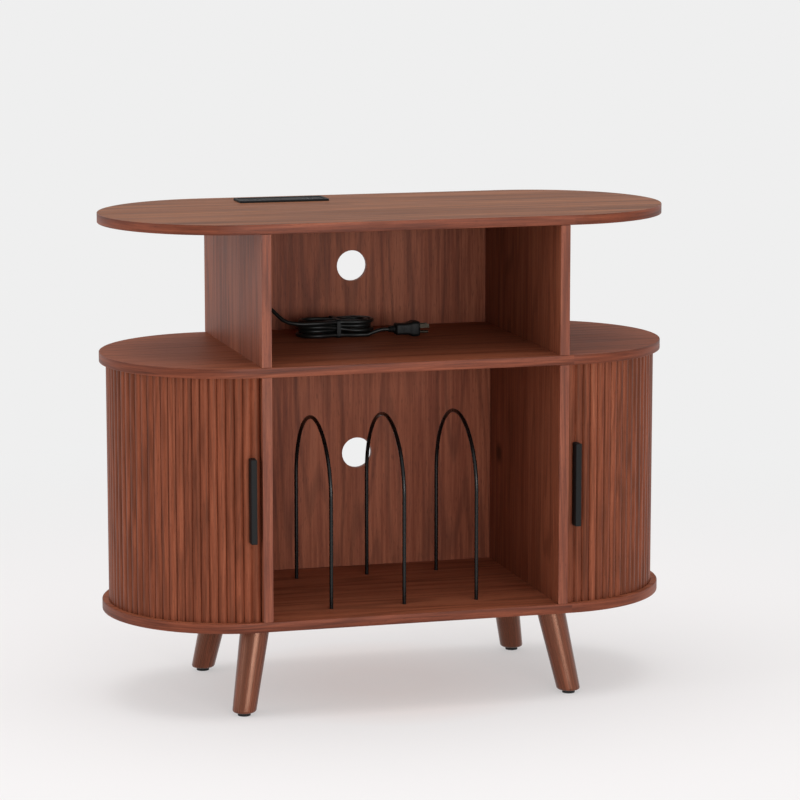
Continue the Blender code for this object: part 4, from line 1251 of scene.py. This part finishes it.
def make_boot():
    """The plug's boot, with ribs round its taper."""
    profile = ribbed_profile(0, boot_high.x - boot_low.x, *boot_ribs)
    place = (boot_high.x, *middle("plug_boot").yz)
    shape = add_turned(bmesh.new(), profile, place, (-1, 0, 0))
    return add_piece("plug_ribbed_boot", shape, "moulded_pvc_plug", "plug_boot")


def make_relief():
    """The strain relief under the housing, ribbed along its taper."""
    floor = housing_low.z
    top, collar = relief_collar
    neck = [(floor - relief_high.z, relief_neck_radius), (top, relief_neck_radius)]
    taper = ribbed_profile(collar, floor - relief_low.z, *relief_ribs)
    place = (*middle("strain_relief").xy, floor)
    profile = [*neck, (top, relief_ribs[0]), *taper]
    shape = add_turned(bmesh.new(), profile, place, (0, 0, -1))
    add_piece("ribbed_strain_relief", shape, "moulded_pvc_plug", "strain_relief")


def make_plug_body():
    """The moulded plug: a waisted grip that widens to a flat front with softened edges."""
    centre = middle("plug_body")
    half = plug_high - centre
    length = plug_high.x - plug_low.x
    grip_y, grip_z = plug_grip
    rings = []
    for along, wide, size in plug_sections:
        y = (grip_y + (half.y - grip_y) * wide) * size
        z = (grip_z + (half.z - grip_z) * wide) * size
        loop = rounded_rectangle(y, z, min(y, z) * plug_corner_share)
        x = plug_low.x + along * length
        rings.append([(x, centre.y + across, centre.z + up) for across, up in loop])
    shape = add_loft(bmesh.new(), rings)
    return add_piece("plug_moulded_body", shape, "moulded_pvc_plug", "plug_body", smooth_angle=60)


def make_plug_ridges():
    """The ridges on both sides of the plug's grip."""
    centre = middle("plug_body")
    grip_y, grip_z = plug_grip
    tall = grip_z * ridge_height_share
    shape = bmesh.new()
    for side in side_names:
        inner, outer = grip_y - ridge_root, grip_y + ridge_rise
        low_y, high_y = sorted((centre.y + side * inner, centre.y + side * outer))
        for i in range(ridge_count):
            share = ridge_start_share + ridge_pitch_share * i
            x = plug_low.x + (plug_high.x - plug_low.x) * share
            add_box(shape, (x, low_y, centre.z - tall), (x + ridge_width, high_y, centre.z + tall))
    return add_piece("plug_grip_ridges", shape, "moulded_pvc_plug")


class MakeCord(Operator):
    """Make the mains cord with its hank, its tie, its ribbed boot and its plug"""

    bl_idname = "record_stand.make_cord"
    bl_label = "Cord and plug"

    def execute(self, context):
        cord = add_tube("mains_cord", cord_points(), cord_diameter / 2, "extruded_pvc_jacket",
                        "cord_lead", "cord_hank", "cord_tail", resolution=5)
        pieces = [make_boot(), make_plug_body(), make_plug_ridges()]
        # The blades' dark colour is painted shade
        for node in ("plug_blade_front", "plug_blade_rear", "plug_earth_pin"):
            pieces.append(repaint(node, "nickel_plated_brass"))
        pieces.append(repaint("cord_tie", "moulded_pvc_plug", tie_bevel))
        make_relief()
        return {"FINISHED"}


# Stage


def aim(target, place, goal):
    """Puts a lamp or a camera at a place, looking at another."""
    target.location = place
    target.rotation_euler = (Vector(goal) - Vector(place)).to_track_quat("-Z", "Y").to_euler()


def seen_share(tree):
    """1 for rays from the camera, from gloss and through glass."""
    rays = add_node(tree, "LightPath").node.outputs
    share = rays["Is Camera Ray"]
    for kind in ("Is Glossy Ray", "Is Transmission Ray"):
        share = add_node(tree, "Math", {0: share, 1: rays[kind]}, operation="MAXIMUM")
    return share


class MakeStage(Operator):
    """Make the floor, the backdrop, the lamps and the camera"""

    bl_idname = "record_stand.make_stage"
    bl_label = "Stage"

    def execute(self, context):
        scene = bpy.context.scene
        scene.view_settings.view_transform = "Standard"
        studio = settings().studio
        camera = add_object("camera", bpy.data.cameras.new("camera"))
        camera.data.lens = camera_lens
        camera.data.sensor_width = camera_sensor
        aim(camera, camera_place, camera_aim)
        scene.camera = camera
        scene.world = self.make_world(studio)
        self.make_floor(studio)
        for word, (place, goal, size) in softboxes.items():
            name = f"{word}_softbox"
            lamp = add_object(name, bpy.data.lights.new(name, "AREA"))
            lamp.data.shape = "RECTANGLE"
            lamp.data.size, lamp.data.size_y = size
            lamp.data.energy = getattr(studio, f"{word}_power")
            aim(lamp, place, goal)
        return {"FINISHED"}

    def make_world(self, studio):
        """Even light for the object, and the backdrop's own colour where a ray sees it."""
        world = bpy.data.worlds.new("studio")
        world.use_nodes = True
        tree = world.node_tree
        tree.nodes.clear()
        even = {"Color": linear("#FFFFFF"), "Strength": studio.world_level}
        seen = {"Color": tuple(studio.backdrop), "Strength": 1.0}
        even, seen = (add_node(tree, "Background", values) for values in (even, seen))
        mixed = add_node(tree, "MixShader", {0: seen_share(tree), 1: even, 2: seen})
        add_node(tree, "OutputWorld", {"Surface": mixed})
        return world

    def make_floor(self, studio):
        """A pale floor that keeps the shadow near the stand, with warm bounce light from the wood
        painted into its colour under the stand, and fades into the backdrop.
        """
        mesh = bpy.data.meshes.new("studio_floor")
        near, far = -floor_reach, floor_reach
        corners = [(near, near, 0), (far, near, 0), (far, far, 0), (near, far, 0)]
        mesh.from_pydata(corners, [], [(0, 1, 2, 3)])
        made = bpy.data.materials.new("matt_studio_floor")
        made.use_nodes = True
        tree = made.node_tree
        tree.nodes.clear()
        plain = add_node(tree, "Emission", {"Color": tuple(studio.backdrop), "Strength": 1.0})
        place = add_node(tree, "TexCoord", output="Object")
        away = add_node(tree, "VectorMath", {0: place}, output="Value", operation="LENGTH")
        # Painted bounce light: the floor's colour turns warm near the stand, inside its shadow
        painted_bounce = {"Value": away, 1: painted_bounce_reach[0], 2: painted_bounce_reach[1]}
        painted_bounce = add_node(tree, "MapRange", painted_bounce)
        pair = {0: painted_bounce, 6: tuple(studio.floor_painted_bounce), 7: tuple(studio.floor)}
        colour = add_node(tree, "Mix", pair, output=2, data_type="RGBA")
        matt = add_node(tree, "BsdfDiffuse", {"Color": colour})
        fade = {"Value": away, 1: fade_reach[0], 2: fade_reach[1], 3: fade_start}
        fade = add_node(tree, "MapRange", fade, interpolation_type="SMOOTHSTEP")
        share = add_node(tree, "Math", {0: fade, 1: seen_share(tree)}, operation="MULTIPLY")
        mixed = add_node(tree, "MixShader", {0: share, 1: matt, 2: plain})
        add_node(tree, "OutputMaterial", {"Surface": mixed})
        mesh.materials.append(made)
        add_object("studio_floor", mesh)


class StandPanel(Panel):
    """The stand's settings and the operators that make it"""

    bl_idname = "VIEW3D_PT_record_stand"
    bl_label = "Record Player Stand"
    bl_space_type = "VIEW_3D"
    bl_region_type = "UI"
    bl_category = "Record Stand"

    def draw(self, context):
        for group in (settings().sizes, settings().colours, settings().studio):
            box = self.layout.box()
            for name in group.__annotations__:
                box.prop(group, name)
        for operator in operators:
            self.layout.operator(operator.bl_idname)


operators = (
    MakeStage, MakeCord, MakeBoards, MakeUprights, MakeLegs, MakeRack, MakeDoors, MakeScrews,
    MakeCharger,
)
classes = (StandSizes, StandColours, StudioSettings, StandSettings, *operators, StandPanel)


def register():
    for made in classes:
        bpy.utils.register_class(made)
    bpy.types.Scene.record_stand = PointerProperty(type=StandSettings)


def unregister():
    del bpy.types.Scene.record_stand
    for made in reversed(classes):
        bpy.utils.unregister_class(made)


def main():
    register()
    bpy.ops.record_stand.make_stage()
    bpy.ops.record_stand.make_cord()
    bpy.ops.record_stand.make_boards()
    bpy.ops.record_stand.make_uprights()
    bpy.ops.record_stand.make_legs()
    bpy.ops.record_stand.make_rack()
    bpy.ops.record_stand.make_doors()
    bpy.ops.record_stand.make_screws()
    bpy.ops.record_stand.make_charger()
    bpy.context.view_layer.update()


if __name__ == "__main__":
    main()
